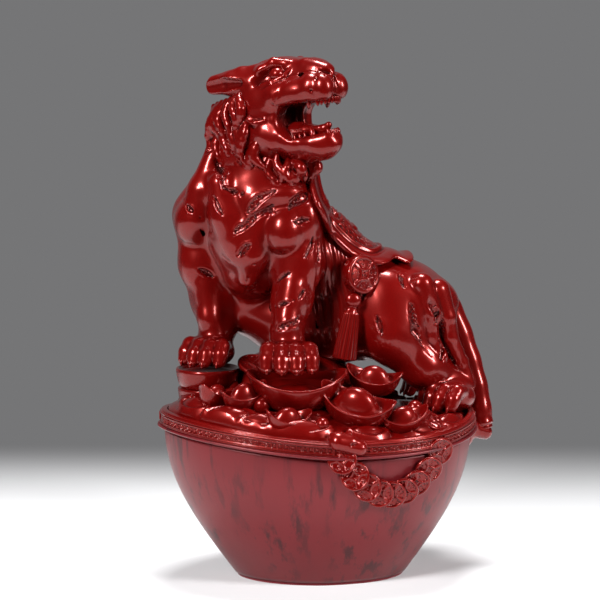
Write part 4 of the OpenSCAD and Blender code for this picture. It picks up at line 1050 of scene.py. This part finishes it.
upper, lower = [], []
for side in (-1, 1):
    upper.append(peg((24.8, 5.6 * side, -3.2), (23.6, 5.2 * side, -8.6), 1.3, (1.5, 0, 0)))
    lower.append(peg((22.4, 4.6 * side, -18.6), (21.4, 4.3 * side, -14.0), 1.15, (1.8, 0, 0)))
    lower.append(peg((28.2, 2.9 * side, -19.4), (28.6, 3.0 * side, -16.6), 0.9, (1, 0, 0)))
    for k in range(6):
        turn = math.radians(4 + 13 * k)
        place = np.array([26.5 + 6.3 * math.cos(turn), 5.9 * math.sin(turn) * side, -5.9])
        upper.append(peg(place, place + (-0.3, 0, -2.5), 0.85, (0, 0, 0)))
    for k in range(3):
        x, y = 29.6 - 0.25 * k, 0.7 * side * (2 * k + 1) * 0.6
        lower.append(peg((x, y, -19.2), (x + 0.2, y, -17.0), 0.42, (0, 0, 0)))
    for k in range(4):
        x, y = 19.4 - 2.1 * k, 5.2 + 0.45 * k
        lower.append(peg((x, y * side, -18), (x - 0.2, (y - 0.1) * side, -15.6), 0.75, (0, 0, 0)))
for name, pegs in (("upper_teeth", upper), ("lower_teeth", lower)):
    points, faces = joined(pegs)
    cast(name, from_head(points), faces)

clay = Clay((-1, -8, -24), (32, 8, -8), 0.4)
clay.strand([(6, 0, -15.5, 4.2), (12, 0, -14.6, 3.6), (18, 0, -15.8, 2.6), (24, 0, -16.6, 1.8),
             (27, 0, -15.4, 1.4)], 2)
for side in (-1, 1):
    clay.strand(both([(9, 2.6, -14, 2.4), (17, 2.5, -15, 1.6), (24, 1.9, -15.8, 1.0)], side), 1.0)
clay.strand([(10, 0, -10.2, 0.5), (18, 0, -12.6, 0.6), (26, 0, -14.0, 0.4)], 1.0, cut=True)
points, faces = clay.skin(2)
make_piece("tongue", from_head(points), faces, lacquer, ["tongue"],
           wash_and_shade=hollowness(points, faces, 8))


# ---------------------------------------------------------------- tiger: mane
# A ruff of wavy locks from behind the ears round the jaw and under the throat, in four overlapping
# tiers. Each lock is a tapered rope; together they are one casting that hides the neck joint.

def lock(start, way, length, radius, wave, phase):
    """A lock: the start moved along the way, swung to and fro by a sine along the head's forward
    axis and swollen outward by half a sine; the radius follows a sine from root to tip."""
    t = np.linspace(0, 1, 8)[:, None]
    way = np.array(way, float) / np.linalg.norm(way)
    side = np.sign(start[1]) if abs(start[1]) > 0.5 else 0
    path = np.array(start, float) + way * length * t
    path[:, :1] += wave * np.sin(2 * np.pi * (0.95 * t + phase)) - wave * math.sin(2 * math.pi * phase)
    path[:, 1:2] += side * 1.6 * np.sin(np.pi * t)
    return np.concatenate([path, radius * np.maximum(np.sin(np.pi * (0.2 + 0.78 * t)), 0.12) ** 0.8], 1)


clay = Clay((-30, -21, -45), (22, 21, 12), 0.42)
clay.lump((-8, 0, -10), (11, 13, 14), 3)
clay.strand([(-8, 0, -16, 11.5), (-5, 0, -24, 10.5), (1, 0, -29, 8)], 3)
TIERS = [  # first start, last start, way, length, radius, count
    ((-15.5, 12.5, 2), (-1, 13.6, 3), (-0.30, 0.05, -1), 15, 1.75, 7),
    ((-17, 12, -7), (-0.5, 13.2, -6.5), (-0.22, 0.0, -1), 15, 1.85, 7),
    ((-15, 11, -17), (2, 11, -14.5), (-0.05, -0.10, -1), 14, 1.95, 6),
    ((-11, 9.5, -25), (6, 7.5, -22), (0.05, -0.22, -1), 12, 1.95, 6),
    ((-2, 5.5, -31), (11.5, 3.6, -25), (-0.12, -0.15, -1), 9, 1.8, 5)]
for tier, (first, last, way, length, radius, count) in enumerate(TIERS):
    for i in range(count):
        share = i / (count - 1)
        start = np.array(first) * (1 - share) + np.array(last) * share
        uneven = math.sin(5.1 * i + 2.3 * tier)
        for side in (-1, 1):
            mirror = np.array([1, side, 1])
            clay.strand(lock(start * mirror, np.array(way) * mirror, length * (1 + 0.16 * uneven),
                             radius * (1 - 0.12 * uneven), 1.5, 0.13 * i + 0.31 * tier), 0.55)
for i in range(7):
    l = -5.4 + 1.8 * i
    clay.strand(lock((12.5 - 0.12 * l * l, l, -24.4), (-0.35, 0.02 * l, -1), 10.5 + math.sin(4 * i), 1.5,
                     1.0, 0.17 * i), 0.5)
points, faces = clay.skin(1)
make_piece("mane", from_head(points), faces, lacquer, ["mane"],
           wash_and_shade=hollowness(points, faces, 14) * 1.5)


# ---------------------------------------------------------------- tiger: tail and claws
# The tail drops from the rump to the perch on the stern, slightly banded. Claws are hooked pegs set
# into the toes.

TAIL = np.array([(48, 14, 108, 5.2), (55, 12, 97, 4.9), (60.5, 8.5, 82, 4.4), (64.0, 5, 68, 4.0),
                 (65.2, 3, 56, 4.2), (65.9, 2.2, 52.4, 3.2)])


def smooth_path(rows, count):
    """Rows resampled by Catmull-Rom cubics through every row, evenly in the row number."""
    rows = np.asarray(rows, float)
    padded = np.concatenate([2 * rows[:1] - rows[1:2], rows, 2 * rows[-1:] - rows[-2:-1]])
    s = np.linspace(0, len(rows) - 1, count)
    i = np.minimum(s.astype(int), len(rows) - 2)
    t = (s - i)[:, None]
    a, b, c, d = (padded[i + k] for k in range(4))
    return 0.5 * (2 * b + (c - a) * t + (2 * a - 5 * b + 4 * c - d) * t ** 2
                  + (3 * b - a - 3 * c + d) * t ** 3)


def pipe(path, radius, columns=24, flatten=1.0, up=(0, 0.3, 1)):
    """A rope of circles square to a path, with the given radius at each step; both ends close in
    one point. Flatten scales the circle along the second side axis."""
    path, radius = np.asarray(path, float), np.broadcast_to(radius, len(path))
    way = np.gradient(path, axis=0)
    way /= np.linalg.norm(way, axis=1, keepdims=True)
    across = np.cross(way, up)
    across /= np.linalg.norm(across, axis=1, keepdims=True)
    over = np.cross(way, across)
    turn = np.linspace(0, 2 * np.pi, columns, endpoint=False)
    ring = (np.cos(turn)[None, :, None] * across[:, None]
            - flatten * np.sin(turn)[None, :, None] * over[:, None])
    points = (path[:, None] + ring * radius[:, None, None]).reshape(-1, 3)
    points = np.concatenate([points, path[:1] - way[:1] * radius[0] * 0.3,
                             path[-1:] + way[-1:] * radius[-1] * 0.3])
    return facing_out(points, capped(len(path), columns))


path = smooth_path(TAIL, 140)
run = np.linspace(0, 1, len(path))
blunt = np.sqrt(np.minimum(1, run * 30 + 0.05))
points, faces = pipe(path[:, :3], path[:, 3] * (1 + 0.035 * np.sin(46 * run)) * blunt)
cast("tail", points, faces, 8, 2)

claws = []
for tip, ahead in claw_roots:
    claws.append(peg(tip - ahead * 1.2 + (0, 0, 0.8), tip + ahead * 0.9 + (0, 0, -2.4), 0.8,
                     ahead * 1.6 + (0, 0, 1.0)))
points, faces = joined(claws)
cast("claws", points, faces)


# ---------------------------------------------------------------- saddle cloth and its border
# A carved cloth over the back, cast on the tiger: a flat field of curling clouds inside a thin
# raised line, with a thick rolled border along its edge. It is stiff resin, not a loose sheet.

CLOTH_EDGE = [(-5.5, 170), (-4.5, 147), (-1.5, 139.5), (2.5, 132.5), (6.5, 127.8), (10.5, 124.2),
              (15.5, 121.2), (20.5, 119.6),
              (25.5, 120.2), (30, 121.2), (35, 119.6), (39, 124), (41, 140), (41, 170)]
CLOTH_OUT, CLOTH_IN, BORDER_RADIUS = 1.5, 1.2, 1.75
edge = smooth_path(CLOTH_EDGE, 120)


def inside_edge(x, z):
    """Signed distance in the side view from the cloth's outline: to its nearest side, less than
    nought inside, which a count of crossings tells."""
    a, b = edge, np.roll(edge, -1, 0)
    best, inside = np.full(x.shape, 1e9), np.zeros(x.shape, bool)
    for (ax, az), (bx, bz) in zip(a, b):
        squared = (bx - ax) ** 2 + (bz - az) ** 2 + 1e-9
        t = np.clip(((x - ax) * (bx - ax) + (z - az) * (bz - az)) / squared, 0, 1)
        best = np.minimum(best, np.hypot(x - ax - t * (bx - ax), z - az - t * (bz - az)))
        if abs(bz - az) > 1e-9:
            inside ^= ((az > z) != (bz > z)) & (x < (bx - ax) * (z - az) / (bz - az) + ax)
    return np.where(inside, -best, best)


first = np.array([-12, -24, 112])
index = np.floor((first - body_clay.low) / body_clay.cell).astype(int)
index2 = np.ceil((np.array([46, 44, 168]) - body_clay.low) / body_clay.cell).astype(int)
part = tuple(slice(a, b) for a, b in zip(index, index2))
skin_depth = body_clay.depth[part]
low = body_clay.low + index * body_clay.cell
x, y, z = (low[c] + body_clay.cell * np.arange(skin_depth.shape[c]) for c in range(3))
outline = inside_edge(*np.meshgrid(x, z, indexing="ij"))[:, None, :]
clay = Clay(low, low + (np.array(skin_depth.shape) - 1) * body_clay.cell, body_clay.cell)
shape = tuple(min(a, b) for a, b in zip(clay.depth.shape, skin_depth.shape))
both_grids = tuple(slice(count) for count in shape)
field, outline = skin_depth[both_grids], outline[:shape[0], :, :shape[2]]
clay.depth[both_grids] = np.maximum(np.maximum(field - CLOTH_OUT, -field - CLOTH_IN), outline)
clay.clear_sides()
points, faces = clay.skin(2)
normals = outward(points, faces)
out = -inside_edge(points[:, 0], points[:, 2])
swirl = np.zeros(len(points))
for k in range(16):
    # clouds: spirals about spots spread over the field, raised where their arms pass
    cx, cz = -1 + 37 * ((k * 0.618) % 1), 127 + 22 * ((k * 0.382 + 0.11 * k * k) % 1)
    r, a = np.hypot(points[:, 0] - cx, points[:, 2] - cz), np.arctan2(points[:, 2] - cz, points[:, 0] - cx)
    arm = np.cos(2 * a * (1 if k % 2 else -1) + 2.6 * r + k)
    swirl = np.maximum(swirl, np.clip(arm * 1.5, -0.2, 1) * np.exp(-(r / 4.6) ** 4))
field_share = np.clip((out - 4.2) * 1.6, 0, 1)
rise = (field_share * (0.75 * swirl - 0.35) + 0.5 * np.exp(-((out - 3.9) / 0.5) ** 2)
        - 0.25 * np.exp(-((out - 2.9) / 0.5) ** 2))
points = points + normals * rise[:, None] * (normals[:, 2:] > -0.6)
cast("saddle_cloth", points, faces, 10, 1.6, stipple=field_share * (swirl < 0.25))

clay = Clay(low, low + (np.array(skin_depth.shape) - 1) * body_clay.cell, body_clay.cell)
clay.depth[both_grids] = np.sqrt((outline + 0.3) ** 2 + (field - 1.1) ** 2) - BORDER_RADIUS
clay.clear_sides()
points, faces = clay.skin(3)
cast("cloth_border", points, faces, 6)


# ---------------------------------------------------------------- medallions and tassels
# On each flank a coin-shaped medallion holds a knotted tassel that hangs to the heap. The coin's
# petals are cast; the tassel is one casting with fine upright threads.

def petal_coin(radius, thick, dome=0.0, rows=26, columns=96):
    """A coin: rings from the middle of the face over the rim to the middle of the back. The face
    height is a raised rim plus thin crossing arcs, each of them a bell about a circle of 0.74 of
    the radius whose centre lies 0.98 of it from the middle. Returns points, quads, stipple."""
    turn = np.linspace(0, 2 * np.pi, columns, endpoint=False)[None, :]
    share = np.linspace(0.03, 1, rows)[:, None]
    u, v = share * np.cos(turn), share * np.sin(turn)
    line = np.zeros_like(u)
    for k in range(4):
        gap = np.abs(np.hypot(u - 0.98 * math.cos(k * math.pi / 2),
                              v - 0.98 * math.sin(k * math.pi / 2)) - 0.74)
        line = np.maximum(line, np.exp(-(gap / 0.062) ** 2))
    rim = np.exp(-((share - 0.90) / 0.085) ** 4) + 0 * u
    face = np.maximum(line * (share < 0.9), rim)
    height = thick / 2 - 0.45 + 0.45 * face + dome * (1 - share ** 2)
    top = np.stack([u * radius, v * radius, height], -1)
    rest = [np.stack([share * radius * np.cos(turn), share * radius * np.sin(turn), 0 * turn + level], -1)
            for share, level in ((1, thick / 2 - 0.5), (1, 0.3 - thick / 2), (0.94, -thick / 2))]
    grid = np.concatenate([top] + rest)
    count = len(grid)
    points = np.concatenate([grid.reshape(-1, 3), [(0, 0, height[0].mean()), (0, 0, -thick / 2)]])
    k, last, pole = np.arange(columns), (count - 1) * columns, count * columns
    after = (k + 1) % columns
    faces = np.concatenate([grid_faces(count, columns, False, True)[:, ::-1], triangles(pole, k, after),
                            triangles(last + k, last + after, pole + 1)])
    dots = np.concatenate([np.clip(0.5 - face, 0, 1).ravel(), np.zeros(3 * columns + 2)])
    return *facing_out(points, faces), dots


def turned_to(points, ahead, up):
    """Points turned so that their z looks ahead and their y leans towards up."""
    ahead = np.array(ahead, float) / np.linalg.norm(ahead)
    across = np.cross(up, ahead)
    across /= np.linalg.norm(across)
    return points @ np.stack([across, np.cross(ahead, across), ahead])


def tassel(knot, tip, spread, facing):
    """A tassel: circles along the run from knot to tip, radius a sum of a bell for the knot, a
    narrow neck and a skirt that widens; threads are a cosine of eighteen turns on the skirt."""
    t = np.linspace(0, 1, 90)
    knot, tip = np.array(knot, float), np.array(tip, float)
    path = knot + (tip - knot) * t[:, None]
    skirt = np.clip((t - 0.24) / 0.06, 0, 1)
    radius = np.maximum(3.1 * np.sqrt(np.clip(1 - ((t - 0.11) / 0.115) ** 2, 0.0, 1)),
                        1.9 * (t > 0.02)) * (1 - skirt)
    radius = radius + skirt * (2.7 + spread * np.maximum(t - 0.24, 0) ** 0.8)
    radius = np.maximum(radius * np.sqrt(np.clip((1 - t) * 30, 0.02, 1)), 0.3)
    points, faces = pipe(path, radius, 72, 0.62, facing)
    angle = np.tile(np.linspace(0, 2 * np.pi, 72, endpoint=False), len(t))
    along = np.repeat(t, 72)
    thread = np.append(0.16 * np.cos(18 * angle + 3 * along) * np.clip((along - 0.26) * 12, 0, 1), [0, 0])
    return facing_out(points + outward(points, faces) * thread[:, None], faces)


for name, side, y0 in (("left", -1, -8.0), ("right", 1, 31.0)):
    coin_points, coin_faces, dots = petal_coin(7.3, 4.4, 0.8)
    placed = turned_to(coin_points, (0.42, side * 0.9, 0.12), (0.1, 0, 1)) + (14.0, y0, 115.4)
    cast("medallion_" + name, placed, coin_faces, 5, 2.2, stipple=dots)
    points, faces = tassel((11.2, y0 + side * 1.6, 108.8), (7.2, y0 + side * 1.6, 83.0), 2.4,
                           (0, side, 0.2))
    cast("tassel_" + name, points, faces, 5, 2.2)


# ---------------------------------------------------------------- treasure bed
# The heap's ground: a smooth slope that rises from the band to a mound under the tiger's belly. It
# is cast as one cap that closes the base, glued inside the band.

HEAP_RISE, EDGE_DROP, CREST_RISE = 10.0, 2.0, 19.0


def bed_height(x, y):
    """Height of the heap's ground: the band's top less a step, the rim's rise at that x, a dome
    over the plan and a steeper crest under the belly."""
    xs, ys = (x + RIM_LEAD) / (BASE_LENGTH / 2), y / (BASE_WIDTH / 2)
    dome = np.maximum(0, 1 - xs ** 2 - ys ** 2) ** 0.6
    crest = np.maximum(0, 1 - ((x + 6) / 30) ** 2 - ((y - 13) / 22) ** 2) ** 0.7
    return (BASE_HEIGHT + BAND_TOP - EDGE_DROP + sheer_at(x) + HEAP_RISE * dome * (1 - 0.35 * xs)
            + CREST_RISE * crest)


def on_bed(x, y, lift):
    """The spot over x and y that is lifted off the heap's ground."""
    return x, y, float(bed_height(float(x), float(y))) + lift


SUNK = [  # half-buried ingots: x, y, length, width, turn, height
    (-40, -25.5, 23, 10, -24, 3.6), (-50, -12, 18, 9, -58, 3.4), (-15, -37.5, 25, 9, -5, 3.2),
    (-29, -32, 17, 8, -18, 3.0),
    (31, -33.5, 18, 8, 16, 2.8), (45, -23, 16, 8, 36, 2.6), (10, -38.5, 17, 7, 3, 2.4),
    (-49, 4, 14, 9, 80, 3.0),
    (-44, 22, 20, 9, 40, 3.2), (-27, 33, 20, 9, 20, 3.2), (14, 37, 20, 8, -4, 2.8),
    (34, 33, 18, 8, -20, 2.8),
    (48, 18, 15, 8, -50, 2.6), (52, 2, 13, 7, 88, 2.4), (-12, 36, 15, 8, 6, 2.8), (-6, -26, 14, 9, 30, 2.6)]


def sunk_ingots(x, y):
    """Relief of the half-buried ingots: each rises steeply at an ellipse, to a rim, dips by a third
    behind it and domes again in its middle. Where two meet the higher one shows."""
    relief = np.zeros_like(x + y)
    for cx, cy, length, width, turn, height in SUNK:
        a = math.radians(turn)
        u = ((x - cx) * math.cos(a) + (y - cy) * math.sin(a)) / (length / 2)
        taper = 1 - 0.25 * np.minimum(1, u * u)
        v = (-(x - cx) * math.sin(a) + (y - cy) * math.cos(a)) / (width / 2 * taper)
        r = np.sqrt(u * u + v * v)
        side = 1 / (1 + np.exp((r - 0.97) / 0.035))
        dip = np.exp(-((r - 0.68) / 0.13) ** 2)
        lift = height * side * (0.78 - 0.30 * dip + 0.42 * np.exp(-(r / 0.42) ** 2) + 0.2 * u * u)
        relief = np.maximum(relief, lift)
    return relief


t = np.linspace(0, 2 * np.pi, 420, endpoint=False)[:, None]
share = np.linspace(1, 0.02, 130)[None, :]
x, y = boat_plan(t, BASE_LENGTH / 2 + 0.9 - BAND_WALL, BASE_WIDTH / 2 + 0.9 - BAND_WALL)
top_x, top_y = x * share - RIM_LEAD, y * share
top = np.stack([top_x, top_y, bed_height(top_x, top_y) + sunk_ingots(top_x, top_y) * (share < 0.995)], -1)
under = rim_surface(t, 0.9 - BAND_WALL, LIP_HEIGHT + 0.05)
grid = np.concatenate([under, top], 1)
count = grid.shape[1]
points = np.concatenate([grid.reshape(-1, 3), [(-RIM_LEAD, 0, BASE_HEIGHT + LIP_HEIGHT + 0.05),
                                               (-RIM_LEAD, 0, float(bed_height(-RIM_LEAD, 0.0)))]])
first = np.arange(len(t)) * count
after, crown = np.roll(first, -1), count - 1
faces = np.concatenate([grid_faces(len(t), count, True, False), triangles(len(points) - 2, after, first),
                        triangles(len(points) - 1, first + crown, after + crown)])
cast("treasure_bed", points, faces, 4)


# ---------------------------------------------------------------- heap ingots, paw dish and paw stack
# Boat-shaped ingots lie about the heap. The left forepaw stands on the largest, the right one on a
# cup set on a drum. Each is its own casting, sunk a little into the bed.

INGOT_ROWS = np.array([(0.50, 0.56, 0.0, 0.0), (0.66, 0.74, 0.10, 0.03), (0.84, 0.90, 0.32, 0.14),
                       (0.96, 0.99, 0.54, 0.40),
                       (1.0, 1.0, 0.62, 0.42), (0.97, 0.96, 0.65, 0.44), (0.90, 0.88, 0.60, 0.36),
                       (0.80, 0.82, 0.52, 0.20),
                       (0.70, 0.75, 0.50, 0.08), (0.61, 0.68, 0.60, 0.02), (0.50, 0.57, 0.82, 0),
                       (0.36, 0.41, 1.02, 0), (0.18, 0.21, 1.14, 0), (0.03, 0.04, 1.18, 0)])


def ingot(length, width, height, crown=1.0, rows=56, columns=72):
    """A boat ingot: rings from the foot up the side, over the lip and down into a dish with a
    crown in its middle. Each ring is an ellipse whose ends lift with the cosine to the power 2.5."""
    ring = smooth_path(INGOT_ROWS, rows)
    turn = np.linspace(0, 2 * np.pi, columns, endpoint=False)[None, :]
    dished = (np.arange(rows)[:, None] > rows * 0.5) & (ring[:, :1] < 0.62)
    level = ring[:, 2:3] * np.where(dished, crown, 1)
    grid = np.stack([length / 2 * ring[:, :1] * np.cos(turn), width / 2 * ring[:, 1:2] * np.sin(turn),
                     height * (level + ring[:, 3:4] * np.abs(np.cos(turn)) ** 2.5)], -1)
    points = np.concatenate([grid.reshape(-1, 3), [(0, 0, 0), (0, 0, height * crown)]])
    return points, turned_over(capped(rows, columns))


def settled(points, place, turn, tilt):
    """Points tipped about x and y by the tilts, turned about z and moved, all in degrees and mm."""
    a, b, c = np.radians([tilt[0], tilt[1], turn])
    about_x = np.array([(1, 0, 0), (0, math.cos(a), -math.sin(a)), (0, math.sin(a), math.cos(a))])
    about_y = np.array([(math.cos(b), 0, math.sin(b)), (0, 1, 0), (-math.sin(b), 0, math.cos(b))])
    about_z = np.array([(math.cos(c), -math.sin(c), 0), (math.sin(c), math.cos(c), 0), (0, 0, 1)])
    return points @ (about_z @ about_y @ about_x).T + place


INGOTS = [  # x, y, turn, tilts, share of the full length, lift off the bed
    (7, -28, -28, (20, 14), 1.28, -0.6), (-20, -33, 14, (14, 4), 0.80, -2.4),
    (-33, -19.5, 20, (12, -8), 0.84, 0.8),
    (24.5, -33, 6, (14, -6), 0.86, -0.8), (17, -15, -22, (14, 8), 0.95, 7.0),
    (-2, 33, 10, (-14, 0), 1.10, -1.0),
    (-43, -13, 40, (4, 12), 0.80, -1.0)]
INGOT_LENGTH = 23.0
for number, (x, y, turn, tilt, share, lift) in enumerate(INGOTS, 1):
    length = INGOT_LENGTH * share
    points, faces = ingot(length, length * 0.56, length * 0.42)
    points = settled(points, on_bed(x, y, lift), turn, tilt)
    cast("heap_ingot_%d" % number, points, faces, 6)

points, faces = ingot(38.0, 27.0, 15.0, 0.5, 70, 96)
points[:, 2] -= 2.2 * (np.abs(points[:, 0]) / 19) ** 4 * (points[:, 2] > 8)
points = settled(points, (-12.8, -18.5, 67.4), -8, (5, 0))
cast("paw_dish", points, faces, 6)


def lathe(profile, place, columns=96):
    """A profile of radius and height rows turned about z; both ends close in one point."""
    profile = smooth_path(profile, 60)
    turn = np.linspace(0, 2 * np.pi, columns, endpoint=False)[None, :]
    grid = np.stack([profile[:, :1] * np.cos(turn), profile[:, :1] * np.sin(turn),
                     profile[:, 1:2] + 0 * turn], -1)
    points = np.concatenate([grid.reshape(-1, 3), [(0, 0, profile[0, 1]), (0, 0, profile[-1, 1])]]) + place
    return points, turned_over(capped(len(profile), columns))


points, faces = lathe([(9.8, 0), (10.6, 0.3), (10.9, 2), (11.3, 5), (11.5, 7.2), (10.8, 7.6)],
                      (-42, 7.5, 64.4))
cast("paw_stack_low", points, faces)
points, faces = lathe([(9.4, 0), (10.4, 0.3), (11.4, 2.2), (12.0, 5.0), (12.2, 6.6), (11.9, 7.4),
                       (11.2, 7.5), (10.6, 6.9), (9.0, 5.8), (3, 5.6)], (-42, 7.5, 72.0))
cast("paw_stack_high", points, faces, 6)


# ---------------------------------------------------------------- heap coins, pearls and bars
# Coins with crossing arcs lie flat or lean on the heap; loose pearls and a bundle of bars fill the
# gaps between the ingots. All are small castings glued to the bed.

COINS = [(36, -27, 20, (22, 14)), (30, 28, 10, (-24, 8)), (-22, 30, 35, (-24, -6)), (4, -5, 15, (16, 2)),
         (-24, 2, 30, (22, -6))]
for number, (x, y, turn, tilt) in enumerate(COINS, 1):
    points, faces, dots = petal_coin(7.5, 1.5)
    points = settled(points, on_bed(x, y, 1.6), turn, tilt)
    cast("heap_coin_%d" % number, points, faces, 5, 2.0, stipple=dots)

PEARLS = [(-27, -23, 3.2), (-7, -37, 2.6), (5, -21.5, 4.0), (-34, 2, 3.4), (33, -17, 3.0), (14, 30, 3.4)]
parts = [ball(on_bed(x, y, r * 0.85), (r, r, r), np.eye(3)) for x, y, r in PEARLS]
points, faces = joined(parts)
cast("heap_beads", points, faces)

parts = []
for k in range(3):
    s = np.linspace(-1, 1, 40)[:, None]
    path = np.array([on_bed(27 + 3.4 * k, -23 - 2.0 * k, 1.6 + 0.3 * k)]) + s * np.array([(2.9, 5.3, 0.8)])
    parts.append(pipe(path, 1.9 * np.sqrt(np.clip(1 - np.abs(s[:, 0]) ** 14, 0.03,
                                                  1)) * (1 - 0.06 * np.cos(12 * s[:, 0])), 28))
points, faces = joined(parts)
cast("heap_bars", points, faces)


# ---------------------------------------------------------------- coin string with its boss, and the perch
# Nine coins hang in a shingled garland from a folded boss on the rim, against the base's wall. At
# the stern a small ledge takes the tip of the tail.

STRING_MIDDLE, STRING_SPAN, STRING_SAG, STRING_COIN = (17.5, 38.5), 38.0, 14.0, 11.0


def near_wall(x, z):
    """The wall's spot nearest the viewer at x and height z: the share of the rim's height there
    gives the outline's size, then the superellipse gives y."""
    u = np.clip((z - FELT) / (BASE_HEIGHT + sheer_at(x) - FELT), 0, 1)
    swell = np.sin(np.pi / 2 * u)
    half_length, half_width = half_sizes(swell)
    n = np.where(x < -RIM_LEAD, 1.8, 2.4)
    along = np.minimum(np.abs((x + RIM_LEAD * swell) / half_length), 1)
    return np.array([float(x), -float(half_width * (1 - along ** n) ** (1 / n)), float(z)])


def string_spot(i):
    """Spot i of the garland: even steps of x, and a height that is a parabola of x."""
    x = -STRING_SPAN / 2 + STRING_SPAN * (i - 1) / 8
    return near_wall(STRING_MIDDLE[0] + x, STRING_MIDDLE[1] + STRING_SAG * (2 * x / STRING_SPAN) ** 2)


lap = math.asin(min(0.5, 1.35 * 1.2 / (STRING_SPAN * 1.25 / 8)))
for i in range(1, 10):
    spot, ahead = string_spot(i), string_spot(i + 0.1) - string_spot(i - 0.1)
    rise = near_wall(spot[0], spot[2] + 0.5) - near_wall(spot[0], spot[2] - 0.5)
    out = np.cross(ahead, rise)
    out *= -np.sign(out[1]) / np.linalg.norm(out)
    along = ahead / np.linalg.norm(ahead)
    axes = np.stack([along, np.cross(out, along), out])
    points, faces, dots = petal_coin(STRING_COIN / 2, 1.25, 0.0, 24, 72)
    points = settled(points, (0, 0, 0), 20, (0, 0))
    points = settled(points, (0, 0, 0), 0, (0, -math.degrees(lap)))
    points = points @ axes + spot + out * (STRING_COIN / 2 * math.sin(lap) + 0.4)
    cast("string_coin_%d" % i, points, faces, 4, 2.4, stipple=dots)

clay = Clay((-12, -54, 44), (14, -36, 64), 0.4)
boss_a, boss_b = rim_surface(math.radians(-92), 0.5, BAND_TOP), rim_surface(math.radians(-86), 1.0, 4.8)
clay.strand([tuple(boss_a) + (3.6,), tuple(boss_b) + (3.0,)], 2)
clay.strand([tuple(boss_a + (-1, 1, 1.2)) + (2.6,), tuple(boss_a + (4.6, -0.2, 0.2)) + (2.6,)], 1.2)
clay.strand([tuple(boss_b + (-3.6, -2.4, 1.8)) + (0.4,), tuple(boss_b + (2.5, -3.4, 2.4)) + (0.5,)], 0.8,
            cut=True)
points, faces = clay.skin(2)
cast("string_boss", points, faces, 8)

clay = Clay((52, -10, 42), (74, 12, 62), 0.4)
clay.strand([(57.5, 0, 54, 3.6), (66.3, 2, 51.2, 3.0)], 2)
clay.lump((57.5, -1, 55), (4.5, 4.4, 3.2), 2)
clay.lump((57.5, 0, 49.8), (3.4, 3.4, 4), 2)
points, faces = clay.skin(2)
points[:, 0] -= 0.35
cast("tail_perch", points, faces, 8)
